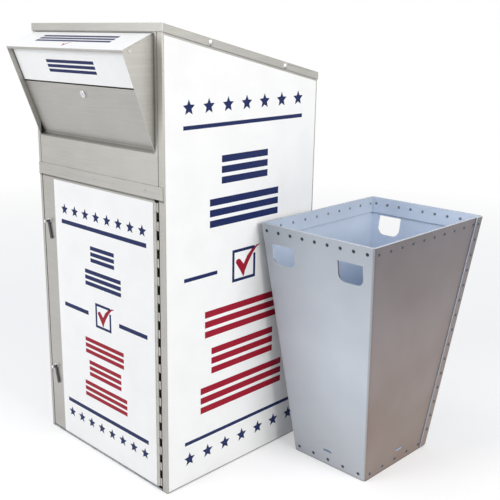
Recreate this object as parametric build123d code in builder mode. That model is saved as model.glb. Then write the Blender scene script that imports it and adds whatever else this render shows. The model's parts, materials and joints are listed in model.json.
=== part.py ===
from build123d import *
import os
from math import atan2, cos, hypot, radians, sin

# Ballot drop box: a steel cabinet with a sloping roof, a hooded slot with a push-in flap and
# a collection door on a long hinge, and the loose plastic bin that stands inside it.
# Millimetres, +Z up, X to the right along the front, Y to the back. The origin is the middle
# of the cabinet's footprint on the floor.

# Cabinet
WIDTH = 590.0
DEPTH = 610.0
FRONT_HEIGHT = 1310.0
ROOF_FALL = 141.0
STEEL = 2.0
FLOOR_STEEL = 3.0
SEAM = 0.3
HOLE_FIT = 0.1
OVERRUN = 5.0
LEFT_POST = 12.5
RIGHT_POST = 22.6
BACK_RETURN = 22.0
FLOOR_EDGE = 25.0
SILL_HEIGHT = 5.5
ANCHOR_SPACING_X = 400.0
ANCHOR_SPACING_Y = 420.0
ANCHOR_HOLE = 14.0

# Roof
ROOF_FLANGE = 22.0
ROOF_CLEARANCE = 1.0
ROOF_BOLT_HEAD = 20.0
ROOF_BOLT_DOME = 4.5
ROOF_BOLT_SHANK = 9.5
ROOF_BOLT_END = 3.0
ROOF_BOLT_POINT = 8.0
ROOF_NUT_FLATS = 14.0
ROOF_NUT_HEIGHT = 6.0
ROOF_BOLT_SHARES = (0.268, 0.757)

# Collection door
DOOR_DEPTH = 20.0
DOOR_LIP = 8.0
DOOR_GAP = 1.8
LATCH_STOP = 10.0
HEAD_STOP = 10.0
HINGE_STOP = 25.0
GASKET = 3.0
GASKET_WIDTH = 7.0
STIFFENER_WIDTH = 60.0
STIFFENER_DEPTH = 12.0
STIFFENER_FOOT = 14.0
STIFFENER_MARGIN = 34.0
STIFFENER_SHARES = (0.36, 0.66)

# Hinge of the door
PIN = 4.0
PIN_FIT = 0.05
PIN_HEAD = 6.0
PIN_HEAD_HEIGHT = 1.5
KNUCKLE_RADIUS = 4.2
KNUCKLE = 25.4
KNUCKLE_GAP = 0.4
LEAF = 1.6
LEAF_NOTCH = 0.5
HINGE_CLEARANCE = 7.8
HINGE_SIDE_GAP = 0.8

# Door latches
LATCH_INSET = 25.2
LATCH_SHARES = (0.256, 0.829)
LATCH_BEZEL = 17.0
LATCH_BEZEL_HEIGHT = 2.0
LATCH_BARREL = 13.0
LATCH_NUT_FLATS = 19.0
LATCH_NUT_HEIGHT = 4.0
SPINDLE = 7.0
HANDLE_LENGTH = 57.0
HANDLE_BOSS = 7.5
HANDLE_BOSS_HEIGHT = 7.5
HANDLE_HEAD = 8.0
HANDLE_TIP = 8.5
HANDLE_THICKNESS = 3.5
HANDLE_LEAN_OUT = 14.0
LATCH_CAP = 10.0
LATCH_CAP_HEIGHT = 5.0
LATCH_CAP_ROUND = 1.2
CAM_REACH = 28.0
CAM_WIDTH = 14.0
CAM_TIP = 10.0
CAM_STEEL = 3.0
CAM_CLEARANCE = 1.5
SCREW_HEAD = 12.0
SCREW_HEAD_HEIGHT = 3.0
RUNNING_GAP = 0.3

# Drip rail over the door
RAIL_HEIGHT = 33.5
RAIL_DROP = 86.0
RAIL_KNEE = 3.0
RAIL_PROUD = 4.5
RAIL_END_GAP = 4.0
RAIL_RIVET = 8.0
RAIL_RIVET_HEIGHT = 1.8
RAIL_RIVET_SHANK = 4.0
RAIL_RIVET_TAIL = 6.0
RAIL_RIVET_TAIL_HEIGHT = 1.0
RAIL_RIVET_SHARES = (0.1, 0.48, 0.87)

# Hood
HOOD_SIDE_GAP = 11.4
HOOD_DROP = 24.0
HOOD_RISE = 41.0
HOOD_HEIGHT = 262.0
HOOD_REACH = 100.0
HOOD_LIP = 7.0
RECESS = 16.0
SLOT_HEADROOM = 12.0
PANEL_RETURN = 12.0
PANEL_HEIGHT = 168.0
FLAP_GAP = 4.0
FLAP_SIDE_GAP = 2.0
FLAP_HOOK = 10.0
FLAP_TOP_GAP = 9.0
FLAP_ROD = 7.0
BUSH = 9.5
BUSH_FLANGE = 13.0
BUSH_FLANGE_HEIGHT = 1.4
BUSH_PROUD = 0.8
ROD_PROUD = 0.6

# Lock in the hood's lower panel
LOCK_OFFSET = 13.0
LOCK_DROP = 25.0
LOCK_FACE = 22.0
LOCK_FACE_HEIGHT = 3.0
LOCK_BODY = 18.0
LOCK_PLUG = 13.0
LOCK_TENON = 8.0
LOCK_NUT_FLATS = 24.0
LOCK_NUT_HEIGHT = 4.0
KEYWAY_LENGTH = 7.0
KEYWAY_WIDTH = 1.6
KEYWAY_DEPTH = 6.0
LOCK_CAM_REACH = 34.0

# Chute and baffle behind the slot
CHUTE_START = 10.0
CHUTE_CLEARANCE = 2.0
CHUTE_RUN = 175.0
CHUTE_FALL = 205.0
CHUTE_EDGE = 18.0
BAFFLE_FLANGE = 16.0
BAFFLE_RUN = 112.0
BAFFLE_FALL = 160.0
BAFFLE_LIP = 14.0
BAFFLE_MARGIN = 20.0

# White printed sheets
FILM = 0.4
FILM_MARGIN = 5.0
FILM_EDGE = 1.0
FILM_ROOF_GAP = 6.0
DOOR_FILM_LEFT = 61.0
DOOR_FILM_RIGHT = 6.0
DOOR_FILM_TOP = 10.0

# Loose bin, standing beside the cabinet
BIN_TOP_WIDTH = 400.0
BIN_TOP_LENGTH = 556.0
BIN_BASE_WIDTH = 270.0
BIN_BASE_LENGTH = 330.0
BIN_HEIGHT = 750.0
BIN_WALL = 4.5
BIN_CORNER = 10.0
BIN_GAP = 0.2
BIN_SIDE_SPACE = 12.0
BIN_BACK_SHIFT = 327.0
HEM_HEIGHT = 50.0
HEM_WALL = 3.5
TRAY_EDGE = 40.0
TRAY_FLOOR = 4.5
TRAY_WALL = 3.5
BIN_RIVET = 11.0
BIN_RIVET_HEIGHT = 2.2
BIN_RIVET_SHANK = 5.0
BIN_RIVET_TAIL = 9.0
BIN_RIVET_TAIL_HEIGHT = 1.2
RIM_RIVET_DROP = 21.0
BASE_RIVET_RISE = 20.0
SHORT_RIM_COUNT = 9
LONG_RIM_COUNT = 10
BASE_COUNT = 5
SEAM_COUNT = 15
RIVET_MARGIN = 24.0
SEAM_WIDTH = 30.0
SEAM_WALL = 4.0
SEAM_END_GAP = 6.0
HAND_HOLE_WIDTH = 82.0
HAND_HOLE_HEIGHT = 62.0
HAND_HOLE_ROUND = 24.0
HAND_HOLE_DROP = 58.0
HAND_HOLE_OFFSET = 118.0
NOTCH_WIDTH = 30.0
NOTCH_HEIGHT = 8.0
NOTCH_RISE = 50.0
STEEP_SHARE = 0.5

# Places that follow from the sizes
RIGHT = WIDTH / 2
LEFT = -RIGHT
BACK = DEPTH / 2
FRONT = -BACK
HOOD_TOP = FRONT_HEIGHT - HOOD_DROP
HOOD_EDGE = HOOD_TOP - HOOD_RISE
HOOD_FOOT = HOOD_EDGE - HOOD_HEIGHT
RAIL_TOP = HOOD_FOOT - RAIL_DROP
HEAD = RAIL_TOP - RAIL_HEIGHT
LEFT_EDGE = LEFT + LEFT_POST
RIGHT_EDGE = RIGHT - RIGHT_POST
HINGE_X = RIGHT_EDGE - HINGE_CLEARANCE - KNUCKLE_RADIUS
HINGE_Y = FRONT - LEAF / 2
DOOR_LEFT = LEFT_EDGE + DOOR_GAP
DOOR_RIGHT = HINGE_X - KNUCKLE_RADIUS - HINGE_SIDE_GAP
DOOR_WIDTH = DOOR_RIGHT - DOOR_LEFT
DOOR_MIDDLE = (DOOR_LEFT + DOOR_RIGHT) / 2
DOOR_BOTTOM = SILL_HEIGHT + DOOR_GAP
DOOR_TOP = HEAD - DOOR_GAP
DOOR_HEIGHT = DOOR_TOP - DOOR_BOTTOM
STOP_Y = FRONT + DOOR_DEPTH + GASKET
JAMB_FOOT = FLOOR_STEEL + SEAM
CAM_Y = STOP_Y + STEEL + CAM_CLEARANCE
LATCH_X = DOOR_LEFT + LATCH_INSET
HOOD_LEAN = atan2(HOOD_REACH, HOOD_HEIGHT)
HOOD_LENGTH = hypot(HOOD_REACH, HOOD_HEIGHT)
HOOD_PITCH = atan2(HOOD_RISE, HOOD_REACH)
PLATE_DROP = STEEL / cos(HOOD_PITCH)
HOOD_LEFT = DOOR_LEFT
HOOD_RIGHT = RIGHT_EDGE - HOOD_SIDE_GAP
HOOD_MIDDLE = (HOOD_LEFT + HOOD_RIGHT) / 2
OPENING_TOP = HOOD_TOP - PLATE_DROP - SLOT_HEADROOM
HOOD_INNER = HOOD_RIGHT - HOOD_LEFT - 2 * STEEL
FLAP_BOTTOM = PANEL_HEIGHT + FLAP_GAP
ROD_UP = HOOD_LENGTH - FLAP_TOP_GAP
ROD_IN = RECESS + STEEL + FLAP_ROD / 2
FLAP_HEAD = ROD_UP + STEEL / 2
HOOK_IN = RECESS + STEEL + PANEL_RETURN + RUNNING_GAP
LOCK_X = HOOD_MIDDLE + LOCK_OFFSET
LOCK_UP = PANEL_HEIGHT - LOCK_DROP
LOCK_CAM_IN = HOOK_IN + STEEL + CAM_CLEARANCE
CHUTE_IN = LOCK_CAM_IN + CAM_STEEL + SCREW_HEAD_HEIGHT + CHUTE_CLEARANCE
BIN_X = RIGHT + ROOF_CLEARANCE + STEEL + BIN_SIDE_SPACE + BIN_TOP_WIDTH / 2
ROOF_PITCH = atan2(ROOF_FALL, DEPTH)
ROOF_NORMAL = (0, sin(ROOF_PITCH), cos(ROOF_PITCH))
ROOF_FACE = Plane(origin=(0, FRONT, FRONT_HEIGHT), x_dir=(1, 0, 0), z_dir=ROOF_NORMAL)
UNDER_ROOF = ROOF_FACE.offset(-STEEL - SEAM)
HOOD_NORMAL = (0, -cos(HOOD_LEAN), -sin(HOOD_LEAN))
HOOD_FACE = Plane(origin=(0, FRONT, HOOD_FOOT), x_dir=(1, 0, 0), z_dir=HOOD_NORMAL)
PANEL_FACE = HOOD_FACE.offset(-RECESS)
BIN_ACROSS = Plane(origin=(BIN_X, BIN_BACK_SHIFT, 0), x_dir=(1, 0, 0), z_dir=(0, -1, 0))
BIN_ALONG = Plane(origin=(BIN_X, BIN_BACK_SHIFT, 0), x_dir=(0, 1, 0), z_dir=(1, 0, 0))

os.makedirs("parts", exist_ok=True)


def save(piece, name):
    """Label a finished piece and write it."""
    piece.part.label = name
    export_step(piece.part, f"parts/{name}.step")


def facing_front(y):
    """An upright plane that faces the front at depth y, with X to the right and Z up."""
    return Plane.XZ.offset(-y)


def facing_side(side, x):
    """An upright plane that faces out from the left (-1) or right (1) side at distance x."""
    return Plane(origin=(side * x, 0, 0), x_dir=(0, side, 0), z_dir=(side, 0, 0))


def outline(plane, points):
    """The flat face on a plane inside straight lines through points."""
    with BuildSketch(plane) as face:
        with BuildLine():
            Polyline(*points, close=True)
        make_face()
    return face.sketch


def circles(plane, spots, diameter):
    """Round faces on a plane at spots, for holes and shafts."""
    with BuildSketch(plane) as faces:
        with Locations(*spots):
            Circle(diameter / 2)
    return faces.sketch


def folded(points, wall):
    """The closed outline of a sheet folded along points, its thickness laid to their left."""
    path = [Vector(*point) for point in points]
    runs = [(after - before).normalized() for before, after in zip(path, path[1:])]
    sides = [Vector(-run.Y, run.X) for run in runs]
    inner = []
    for index, point in enumerate(path):
        before = sides[max(index - 1, 0)]
        after = sides[min(index, len(sides) - 1)]
        middle = (before + after).normalized()
        inner.append(point + middle * (wall / middle.dot(after)))
    return path + inner[::-1]


def rivet(head, height, shank, grip, tail, tail_height):
    """A rivet along Z: domed head above the origin, shank through the grip, flat tail below it."""
    sphere = ((head / 2) ** 2 + height**2) / (2 * height)
    half_turn = atan2(head / 2, sphere - height) / 2
    crown = (sphere * sin(half_turn), height - sphere + sphere * cos(half_turn))
    end = -grip - tail_height
    with BuildPart() as piece:
        with BuildSketch(Plane.XZ):
            with BuildLine():
                Polyline((0, height), (0, end), (tail / 2, end), (tail / 2, -grip), (shank / 2, -grip),
                         (shank / 2, 0), (head / 2, 0))
                ThreePointArc((head / 2, 0), crown, (0, height))
            make_face()
        revolve(axis=Axis.Z)
    return piece.part


def spots_on(plane, spots):
    """Locations on a plane, for pieces that stand out from it."""
    return [plane.location * Location((u, v, 0)) for u, v in spots]


def evenly(low, high, count):
    """Count places from low to high."""
    return [low + (high - low) * index / (count - 1) for index in range(count)]


def roof_top(y):
    """Height of the roof's upper face at depth y."""
    return FRONT_HEIGHT - ROOF_FALL * (y - FRONT) / DEPTH


def hood_point(up, out):
    """A point (y, z) of the hood, up along its leaning front and out from it."""
    y = FRONT - up * sin(HOOD_LEAN) - out * cos(HOOD_LEAN)
    return (y, HOOD_FOOT + up * cos(HOOD_LEAN) - out * sin(HOOD_LEAN))


# Floor pan: flat floor with four anchor holes, edges turned up at the sides and the back, and
# a low sill under the door
with BuildPart() as base_pan:
    with BuildSketch(Plane.XY):
        with Locations((0, -STEEL / 2)):
            Rectangle(WIDTH - 2 * STEEL, DEPTH - 3 * STEEL)
        with GridLocations(ANCHOR_SPACING_X, ANCHOR_SPACING_Y, 2, 2):
            Circle(ANCHOR_HOLE / 2, mode=Mode.SUBTRACT)
    extrude(amount=FLOOR_STEEL)
    edge_front = STOP_Y + STEEL + SEAM
    edge_back = BACK - 2 * STEEL
    with BuildSketch(Plane.XY.offset(FLOOR_STEEL)):
        with Locations((0, (edge_front + edge_back) / 2)):
            Rectangle(WIDTH - 2 * STEEL, edge_back - edge_front)
        with Locations((0, (edge_front + edge_back) / 2 - FLOOR_STEEL)):
            Rectangle(WIDTH - 2 * STEEL - 2 * FLOOR_STEEL, edge_back - edge_front, mode=Mode.SUBTRACT)
    extrude(amount=FLOOR_EDGE)
    with BuildSketch(Plane.XY):
        with Locations(((LEFT_EDGE + RIGHT_EDGE) / 2, FRONT + STEEL / 2)):
            Rectangle(RIGHT_EDGE - LEFT_EDGE, STEEL)
    extrude(amount=SILL_HEIGHT)
save(base_pan, "base_pan")

# Side sheets: each is folded at the back, round the front post and into the door's jamb and stop
roof_bolt_places = [FRONT + share * DEPTH for share in ROOF_BOLT_SHARES]
roof_bolt_spots = [(y, roof_top(y) - ROOF_FLANGE / 2) for y in roof_bolt_places]
roof_bolt_hole = ROOF_BOLT_SHANK + 2 * HOLE_FIT
for side, name, post, stop in ((-1, "left", LEFT_POST, LATCH_STOP), (1, "right", RIGHT_POST, HINGE_STOP)):
    wall = [(LEFT + BACK_RETURN, BACK), (LEFT, BACK), (LEFT, FRONT), (LEFT + post, FRONT)]
    jamb = wall + [(LEFT + post, STOP_Y), (LEFT + post + stop, STOP_Y)]
    if side > 0:
        wall = [(-x, y) for x, y in reversed(wall)]
        jamb = [(-x, y) for x, y in reversed(jamb)]
    with BuildPart() as side_panel:
        extrude(outline(Plane.XY, folded(wall, STEEL)), amount=FRONT_HEIGHT)
        split(bisect_by=UNDER_ROOF, keep=Keep.BOTTOM)
        jamb_face = outline(Plane.XY.offset(JAMB_FOOT), folded(jamb, STEEL))
        extrude(jamb_face, amount=HEAD - HEAD_STOP - JAMB_FOOT)
        bolt_holes = [(side * y, z) for y, z in roof_bolt_spots]
        bolt_face = facing_side(side, RIGHT + OVERRUN)
        hole_depth = STEEL + 2 * OVERRUN
        extrude(circles(bolt_face, bolt_holes, roof_bolt_hole), amount=-hole_depth, mode=Mode.SUBTRACT)
    save(side_panel, f"{name}_side_panel")

# Back sheet, between the sides and in front of their back returns
with BuildPart() as back_panel:
    back_low = BACK - 2 * STEEL
    with BuildSketch(Plane.XY):
        with Locations((0, back_low + STEEL / 2)):
            Rectangle(WIDTH - 2 * STEEL, STEEL)
    extrude(amount=FRONT_HEIGHT)
    split(bisect_by=UNDER_ROOF, keep=Keep.BOTTOM)
save(back_panel, "back_panel")

# Upper front sheet: folded in over the door and down as its top stop, with the slot's opening
with BuildPart() as upper_front_panel:
    front_path = [(FRONT, FRONT_HEIGHT), (FRONT, HEAD), (STOP_Y, HEAD), (STOP_Y, HEAD - HEAD_STOP)]
    extrude(outline(Plane.YZ.offset(LEFT_EDGE), folded(front_path, STEEL)), amount=RIGHT_EDGE - LEFT_EDGE)
    split(bisect_by=UNDER_ROOF, keep=Keep.BOTTOM)
    with BuildSketch(facing_front(FRONT)):
        with Locations((HOOD_MIDDLE, (HOOD_FOOT + OPENING_TOP) / 2)):
            Rectangle(HOOD_INNER, OPENING_TOP - HOOD_FOOT)
    extrude(amount=-STEEL, mode=Mode.SUBTRACT)
    rail_face = facing_front(FRONT - STEEL)
    rail_rivet_height = RAIL_TOP - (RAIL_HEIGHT - RAIL_KNEE) / 2
    rail_spots = [(LEFT + share * WIDTH, rail_rivet_height) for share in RAIL_RIVET_SHARES]
    rail_holes = circles(rail_face, rail_spots, RAIL_RIVET_SHANK + 2 * HOLE_FIT)
    extrude(rail_holes, amount=-2 * STEEL, mode=Mode.SUBTRACT)
save(upper_front_panel, "upper_front_panel")

# Roof: one shallow cap, its edges turned down outside the walls
with BuildPart() as roof_cap:
    skirt = ROOF_CLEARANCE + STEEL
    ends = [(FRONT - skirt, roof_top(FRONT - skirt)), (BACK + skirt, roof_top(BACK + skirt))]
    shell = ends + [(y, z - ROOF_FLANGE) for y, z in reversed(ends)]
    extrude(outline(Plane.YZ.offset(LEFT - skirt), shell), amount=WIDTH + 2 * skirt)
    drop = STEEL / cos(ROOF_PITCH)
    inside = [(FRONT - ROOF_CLEARANCE, roof_top(FRONT - ROOF_CLEARANCE) - drop),
              (BACK + ROOF_CLEARANCE, roof_top(BACK + ROOF_CLEARANCE) - drop)]
    hollow = inside + [(y, z - ROOF_FLANGE) for y, z in reversed(inside)]
    hollow_start = LEFT - ROOF_CLEARANCE
    hollow_face = outline(Plane.YZ.offset(hollow_start), hollow)
    extrude(hollow_face, amount=WIDTH + 2 * ROOF_CLEARANCE, mode=Mode.SUBTRACT)
    across = circles(Plane.YZ.offset(LEFT - skirt), roof_bolt_spots, roof_bolt_hole)
    extrude(across, amount=WIDTH + 2 * skirt, mode=Mode.SUBTRACT)
save(roof_cap, "roof_cap")

# Roof bolts: domed heads on the turned-down edges, their shanks through the side sheets
bolt_grip = STEEL + ROOF_CLEARANCE + STEEL + ROOF_NUT_HEIGHT
with BuildPart() as roof_bolts:
    for side in (-1, 1):
        bolt_plane = facing_side(side, RIGHT + ROOF_CLEARANCE + STEEL)
        with Locations(*spots_on(bolt_plane, [(side * y, z) for y, z in roof_bolt_spots])):
            add(rivet(ROOF_BOLT_HEAD, ROOF_BOLT_DOME, ROOF_BOLT_SHANK, bolt_grip,
                      ROOF_BOLT_POINT, ROOF_BOLT_END))
save(roof_bolts, "roof_bolts")

# Roof nuts inside the side sheets
with BuildPart() as roof_nuts:
    for side in (-1, 1):
        with BuildSketch(facing_side(side, RIGHT - STEEL)):
            with Locations(*[(side * y, z) for y, z in roof_bolt_spots]):
                RegularPolygon(ROOF_NUT_FLATS / 2, 6, major_radius=False)
                Circle(ROOF_BOLT_SHANK / 2 + HOLE_FIT, mode=Mode.SUBTRACT)
        extrude(amount=-ROOF_NUT_HEIGHT)
save(roof_nuts, "roof_nuts")

# Drip rail: a flat strip on the front over the door, its lower edge kicked out a little
with BuildPart() as drip_rail:
    rail_knee = HEAD + RAIL_KNEE
    rail_path = [(FRONT - STEEL, RAIL_TOP), (FRONT - STEEL, rail_knee), (FRONT - RAIL_PROUD, HEAD)]
    rail_length = WIDTH - RAIL_END_GAP
    extrude(outline(Plane.YZ.offset(LEFT), folded(rail_path, STEEL)), amount=rail_length)
    extrude(rail_holes, amount=-STEEL, mode=Mode.SUBTRACT)
save(drip_rail, "drip_rail")

with BuildPart() as drip_rail_rivets:
    with Locations(*spots_on(rail_face, rail_spots)):
        add(rivet(RAIL_RIVET, RAIL_RIVET_HEIGHT, RAIL_RIVET_SHANK, 2 * STEEL,
                  RAIL_RIVET_TAIL, RAIL_RIVET_TAIL_HEIGHT))
save(drip_rail_rivets, "drip_rail_rivets")

# Hood: a top plate with a folded lip lies on two cheeks that stand out from the front
plate_path = [(FRONT, HOOD_TOP), hood_point(HOOD_LENGTH, 0), hood_point(HOOD_LENGTH - HOOD_LIP, 0)]
plate_outline = folded(plate_path, STEEL)
rod_spot = hood_point(ROD_UP, -ROD_IN)
with BuildPart() as hood_top_plate:
    extrude(outline(Plane.YZ.offset(HOOD_LEFT), plate_outline), amount=HOOD_RIGHT - HOOD_LEFT)
    split(bisect_by=facing_front(FRONT), keep=Keep.TOP)
save(hood_top_plate, "hood_top_plate")

for name, cheek_x in (("left", HOOD_LEFT), ("right", HOOD_RIGHT - STEEL)):
    with BuildPart() as hood_cheek:
        cheek_plane = Plane.YZ.offset(cheek_x)
        cheek_points = [(FRONT, HOOD_FOOT), (FRONT, HOOD_TOP), hood_point(HOOD_LENGTH, 0)]
        extrude(outline(cheek_plane, cheek_points), amount=STEEL)
        extrude(outline(cheek_plane, plate_outline), amount=STEEL, mode=Mode.SUBTRACT)
        extrude(circles(cheek_plane, [rod_spot], BUSH), amount=STEEL, mode=Mode.SUBTRACT)
    save(hood_cheek, f"hood_{name}_cheek")

# Hood's fixed lower panel: a ledge at its foot and a return at its top, bored for the lock
with BuildPart() as hood_lower_panel:
    panel_in = RECESS + STEEL
    return_up = PANEL_HEIGHT - STEEL
    panel_path = [hood_point(0, 0), hood_point(0, -panel_in), hood_point(return_up, -panel_in),
                  hood_point(return_up, -panel_in - PANEL_RETURN)]
    extrude(outline(Plane.YZ.offset(HOOD_LEFT + STEEL), folded(panel_path, STEEL)), amount=HOOD_INNER)
    lock_spots = [(LOCK_X, LOCK_UP)]
    lock_hole = circles(PANEL_FACE, lock_spots, LOCK_BODY + 2 * HOLE_FIT)
    extrude(lock_hole, amount=-STEEL, mode=Mode.SUBTRACT)
save(hood_lower_panel, "hood_lower_panel")

# Flap: a sheet hung from a rod, with a hook at its foot that meets the lower panel's return
flap_left = HOOD_LEFT + STEEL + FLAP_SIDE_GAP
flap_width = HOOD_INNER - 2 * FLAP_SIDE_GAP
with BuildPart() as flap:
    flap_path = [hood_point(FLAP_HEAD, -RECESS), hood_point(FLAP_BOTTOM, -RECESS),
                 hood_point(FLAP_BOTTOM, -HOOK_IN), hood_point(FLAP_BOTTOM - FLAP_HOOK, -HOOK_IN)]
    extrude(outline(Plane.YZ.offset(flap_left), folded(flap_path, STEEL)), amount=flap_width)
save(flap, "flap")

with BuildPart() as flap_rod:
    rod_start = HOOD_LEFT - ROD_PROUD
    rod_length = HOOD_RIGHT + ROD_PROUD - rod_start
    extrude(circles(Plane.YZ.offset(rod_start), [rod_spot], FLAP_ROD), amount=rod_length)
save(flap_rod, "flap_rod")

with BuildPart() as flap_bushes:
    for side, outside in ((-1, HOOD_LEFT), (1, HOOD_RIGHT)):
        inside_x = outside - side * STEEL
        inside_face = Plane.YZ.offset(inside_x)
        far_x = outside + side * BUSH_PROUD
        extrude(circles(inside_face, [rod_spot], BUSH), amount=far_x - inside_x)
        extrude(circles(inside_face, [rod_spot], BUSH_FLANGE), amount=-side * BUSH_FLANGE_HEIGHT)
    rod_hole = circles(Plane.YZ.offset(HOOD_LEFT - OVERRUN), [rod_spot], FLAP_ROD + 2 * PIN_FIT)
    extrude(rod_hole, amount=HOOD_RIGHT - HOOD_LEFT + 2 * OVERRUN, mode=Mode.SUBTRACT)
save(flap_bushes, "flap_bushes")

# Lock: body and nut clamped in the lower panel, a keyed plug, and its cam behind the flap's hook
with BuildPart() as lock_body:
    extrude(circles(PANEL_FACE, lock_spots, LOCK_FACE), amount=LOCK_FACE_HEIGHT)
    extrude(circles(PANEL_FACE, lock_spots, LOCK_BODY), amount=RECESS + RUNNING_GAP - LOCK_CAM_IN)
    plug_hole = circles(HOOD_FACE, lock_spots, LOCK_PLUG + 2 * PIN_FIT)
    extrude(plug_hole, amount=-LOCK_CAM_IN, mode=Mode.SUBTRACT)
save(lock_body, "lock_body")

with BuildPart() as lock_nut:
    with BuildSketch(PANEL_FACE.offset(-STEEL)):
        with Locations(*lock_spots):
            RegularPolygon(LOCK_NUT_FLATS / 2, 6, major_radius=False)
            Circle(LOCK_BODY / 2 + HOLE_FIT, mode=Mode.SUBTRACT)
    extrude(amount=-LOCK_NUT_HEIGHT)
save(lock_nut, "lock_nut")

with BuildPart() as lock_plug:
    plug_front = PANEL_FACE.offset(LOCK_FACE_HEIGHT)
    plug_length = LOCK_CAM_IN + LOCK_FACE_HEIGHT - RECESS
    extrude(circles(plug_front, lock_spots, LOCK_PLUG), amount=-plug_length)
    extrude(circles(plug_front, lock_spots, LOCK_TENON), amount=-plug_length - CAM_STEEL)
    with BuildSketch(plug_front):
        with Locations(*lock_spots):
            Rectangle(KEYWAY_WIDTH, KEYWAY_LENGTH)
    extrude(amount=-KEYWAY_DEPTH, mode=Mode.SUBTRACT)
save(lock_plug, "lock_plug")


def cam_face(plane, x, y, reach, turn, bore):
    """A rounded cam plate from its pivot at (x, y), reaching out at an angle, bored for its shaft."""
    tip = reach - CAM_TIP / 2
    with BuildSketch(plane) as face:
        with Locations((x, y)):
            Circle(CAM_WIDTH / 2)
        with Locations((x + tip * cos(turn), y + tip * sin(turn))):
            Circle(CAM_TIP / 2)
        make_hull()
        with Locations((x, y)):
            Circle(bore / 2 + PIN_FIT, mode=Mode.SUBTRACT)
    return face.sketch


with BuildPart() as lock_cam:
    cam_plane = HOOD_FACE.offset(-LOCK_CAM_IN)
    extrude(cam_face(cam_plane, LOCK_X, LOCK_UP, LOCK_CAM_REACH, 0, LOCK_TENON), amount=-CAM_STEEL)
save(lock_cam, "lock_cam")

with BuildPart() as lock_screw:
    screw_plane = cam_plane.offset(-CAM_STEEL)
    extrude(circles(screw_plane, lock_spots, SCREW_HEAD), amount=-SCREW_HEAD_HEIGHT)
save(lock_screw, "lock_screw")

# Chute: a slope with raised sides that leads from the slot down towards the bin
chute_start = hood_point(PANEL_HEIGHT - CHUTE_START, -CHUTE_IN)
chute_end = (chute_start[0] + CHUTE_RUN, chute_start[1] - CHUTE_FALL)
with BuildPart() as chute:
    chute_left = HOOD_LEFT + STEEL + SEAM
    chute_width = HOOD_INNER - 2 * SEAM
    slope_outline = folded([chute_start, chute_end], STEEL)
    extrude(outline(Plane.YZ.offset(chute_left), slope_outline), amount=chute_width)
    edge_outline = folded([chute_start, chute_end], CHUTE_EDGE)
    for edge_x in (chute_left, chute_left + chute_width - STEEL):
        extrude(outline(Plane.YZ.offset(edge_x), edge_outline), amount=STEEL)
save(chute, "chute")

# Baffle: hangs from the front sheet over the chute, so that nothing can be fished out
with BuildPart() as baffle:
    baffle_y = FRONT + STEEL
    baffle_z = OPENING_TOP + STEEL
    lip_y = baffle_y + BAFFLE_RUN
    lip_z = baffle_z - BAFFLE_FALL
    baffle_path = [(baffle_y, baffle_z + BAFFLE_FLANGE), (baffle_y, baffle_z), (lip_y, lip_z),
                   (lip_y, lip_z - BAFFLE_LIP)]
    baffle_left = LEFT_EDGE + BAFFLE_MARGIN
    baffle_width = RIGHT_EDGE - LEFT_EDGE - 2 * BAFFLE_MARGIN
    extrude(outline(Plane.YZ.offset(baffle_left), folded(baffle_path, STEEL)), amount=baffle_width)
save(baffle, "baffle")

# Door: a pan with a skin, four returns and a lip turned in behind them
latch_levels = [DOOR_BOTTOM + share * DOOR_HEIGHT for share in LATCH_SHARES]
latch_heights = dict(zip(("lower", "upper"), latch_levels))
latch_spots = [(LATCH_X, z) for z in latch_levels]
door_centre = (DOOR_MIDDLE, (DOOR_BOTTOM + DOOR_TOP) / 2)
with BuildPart() as door_panel:
    with BuildSketch(facing_front(FRONT)):
        with Locations(door_centre):
            Rectangle(DOOR_WIDTH, DOOR_HEIGHT)
    extrude(amount=-DOOR_DEPTH)
    with BuildSketch(facing_front(FRONT + STEEL)):
        with Locations(door_centre):
            Rectangle(DOOR_WIDTH - 2 * STEEL, DOOR_HEIGHT - 2 * STEEL)
    extrude(amount=2 * STEEL - DOOR_DEPTH, mode=Mode.SUBTRACT)
    with BuildSketch(facing_front(FRONT + DOOR_DEPTH - STEEL)):
        with Locations(door_centre):
            Rectangle(DOOR_WIDTH - 2 * DOOR_LIP, DOOR_HEIGHT - 2 * DOOR_LIP)
    extrude(amount=-STEEL, mode=Mode.SUBTRACT)
    latch_holes = circles(facing_front(FRONT), latch_spots, LATCH_BARREL + 2 * HOLE_FIT)
    extrude(latch_holes, amount=-STEEL, mode=Mode.SUBTRACT)
save(door_panel, "door_panel")

# Stiffeners: two folded channels across the back of the door's skin
with BuildPart() as door_stiffeners:
    foot_y = FRONT + 2 * STEEL
    crown_y = FRONT + STEEL + STIFFENER_DEPTH
    half = STIFFENER_WIDTH / 2
    foot = half + STIFFENER_FOOT
    channel_left = DOOR_LEFT + STIFFENER_MARGIN
    for share in STIFFENER_SHARES:
        middle = DOOR_BOTTOM + share * DOOR_HEIGHT
        channel = [(foot_y, middle - foot), (foot_y, middle - half), (crown_y, middle - half),
                   (crown_y, middle + half), (foot_y, middle + half), (foot_y, middle + foot)]
        channel_face = outline(Plane.YZ.offset(channel_left), folded(channel, STEEL))
        extrude(channel_face, amount=DOOR_WIDTH - 2 * STIFFENER_MARGIN)
save(door_stiffeners, "door_stiffeners")

# Gasket: foam strip on the door's stops at both sides and across the top
with BuildPart() as door_gasket:
    gasket_left = LEFT_EDGE + SEAM
    with BuildSketch(facing_front(STOP_Y)):
        with Locations(((gasket_left + DOOR_RIGHT) / 2, (JAMB_FOOT + DOOR_TOP) / 2)):
            Rectangle(DOOR_RIGHT - gasket_left, DOOR_TOP - JAMB_FOOT)
        with Locations(((gasket_left + DOOR_RIGHT) / 2, (JAMB_FOOT + DOOR_TOP) / 2 - GASKET_WIDTH)):
            Rectangle(DOOR_RIGHT - gasket_left - 2 * GASKET_WIDTH, DOOR_TOP - JAMB_FOOT, mode=Mode.SUBTRACT)
    extrude(amount=GASKET - SEAM)
save(door_gasket, "door_gasket")

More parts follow.
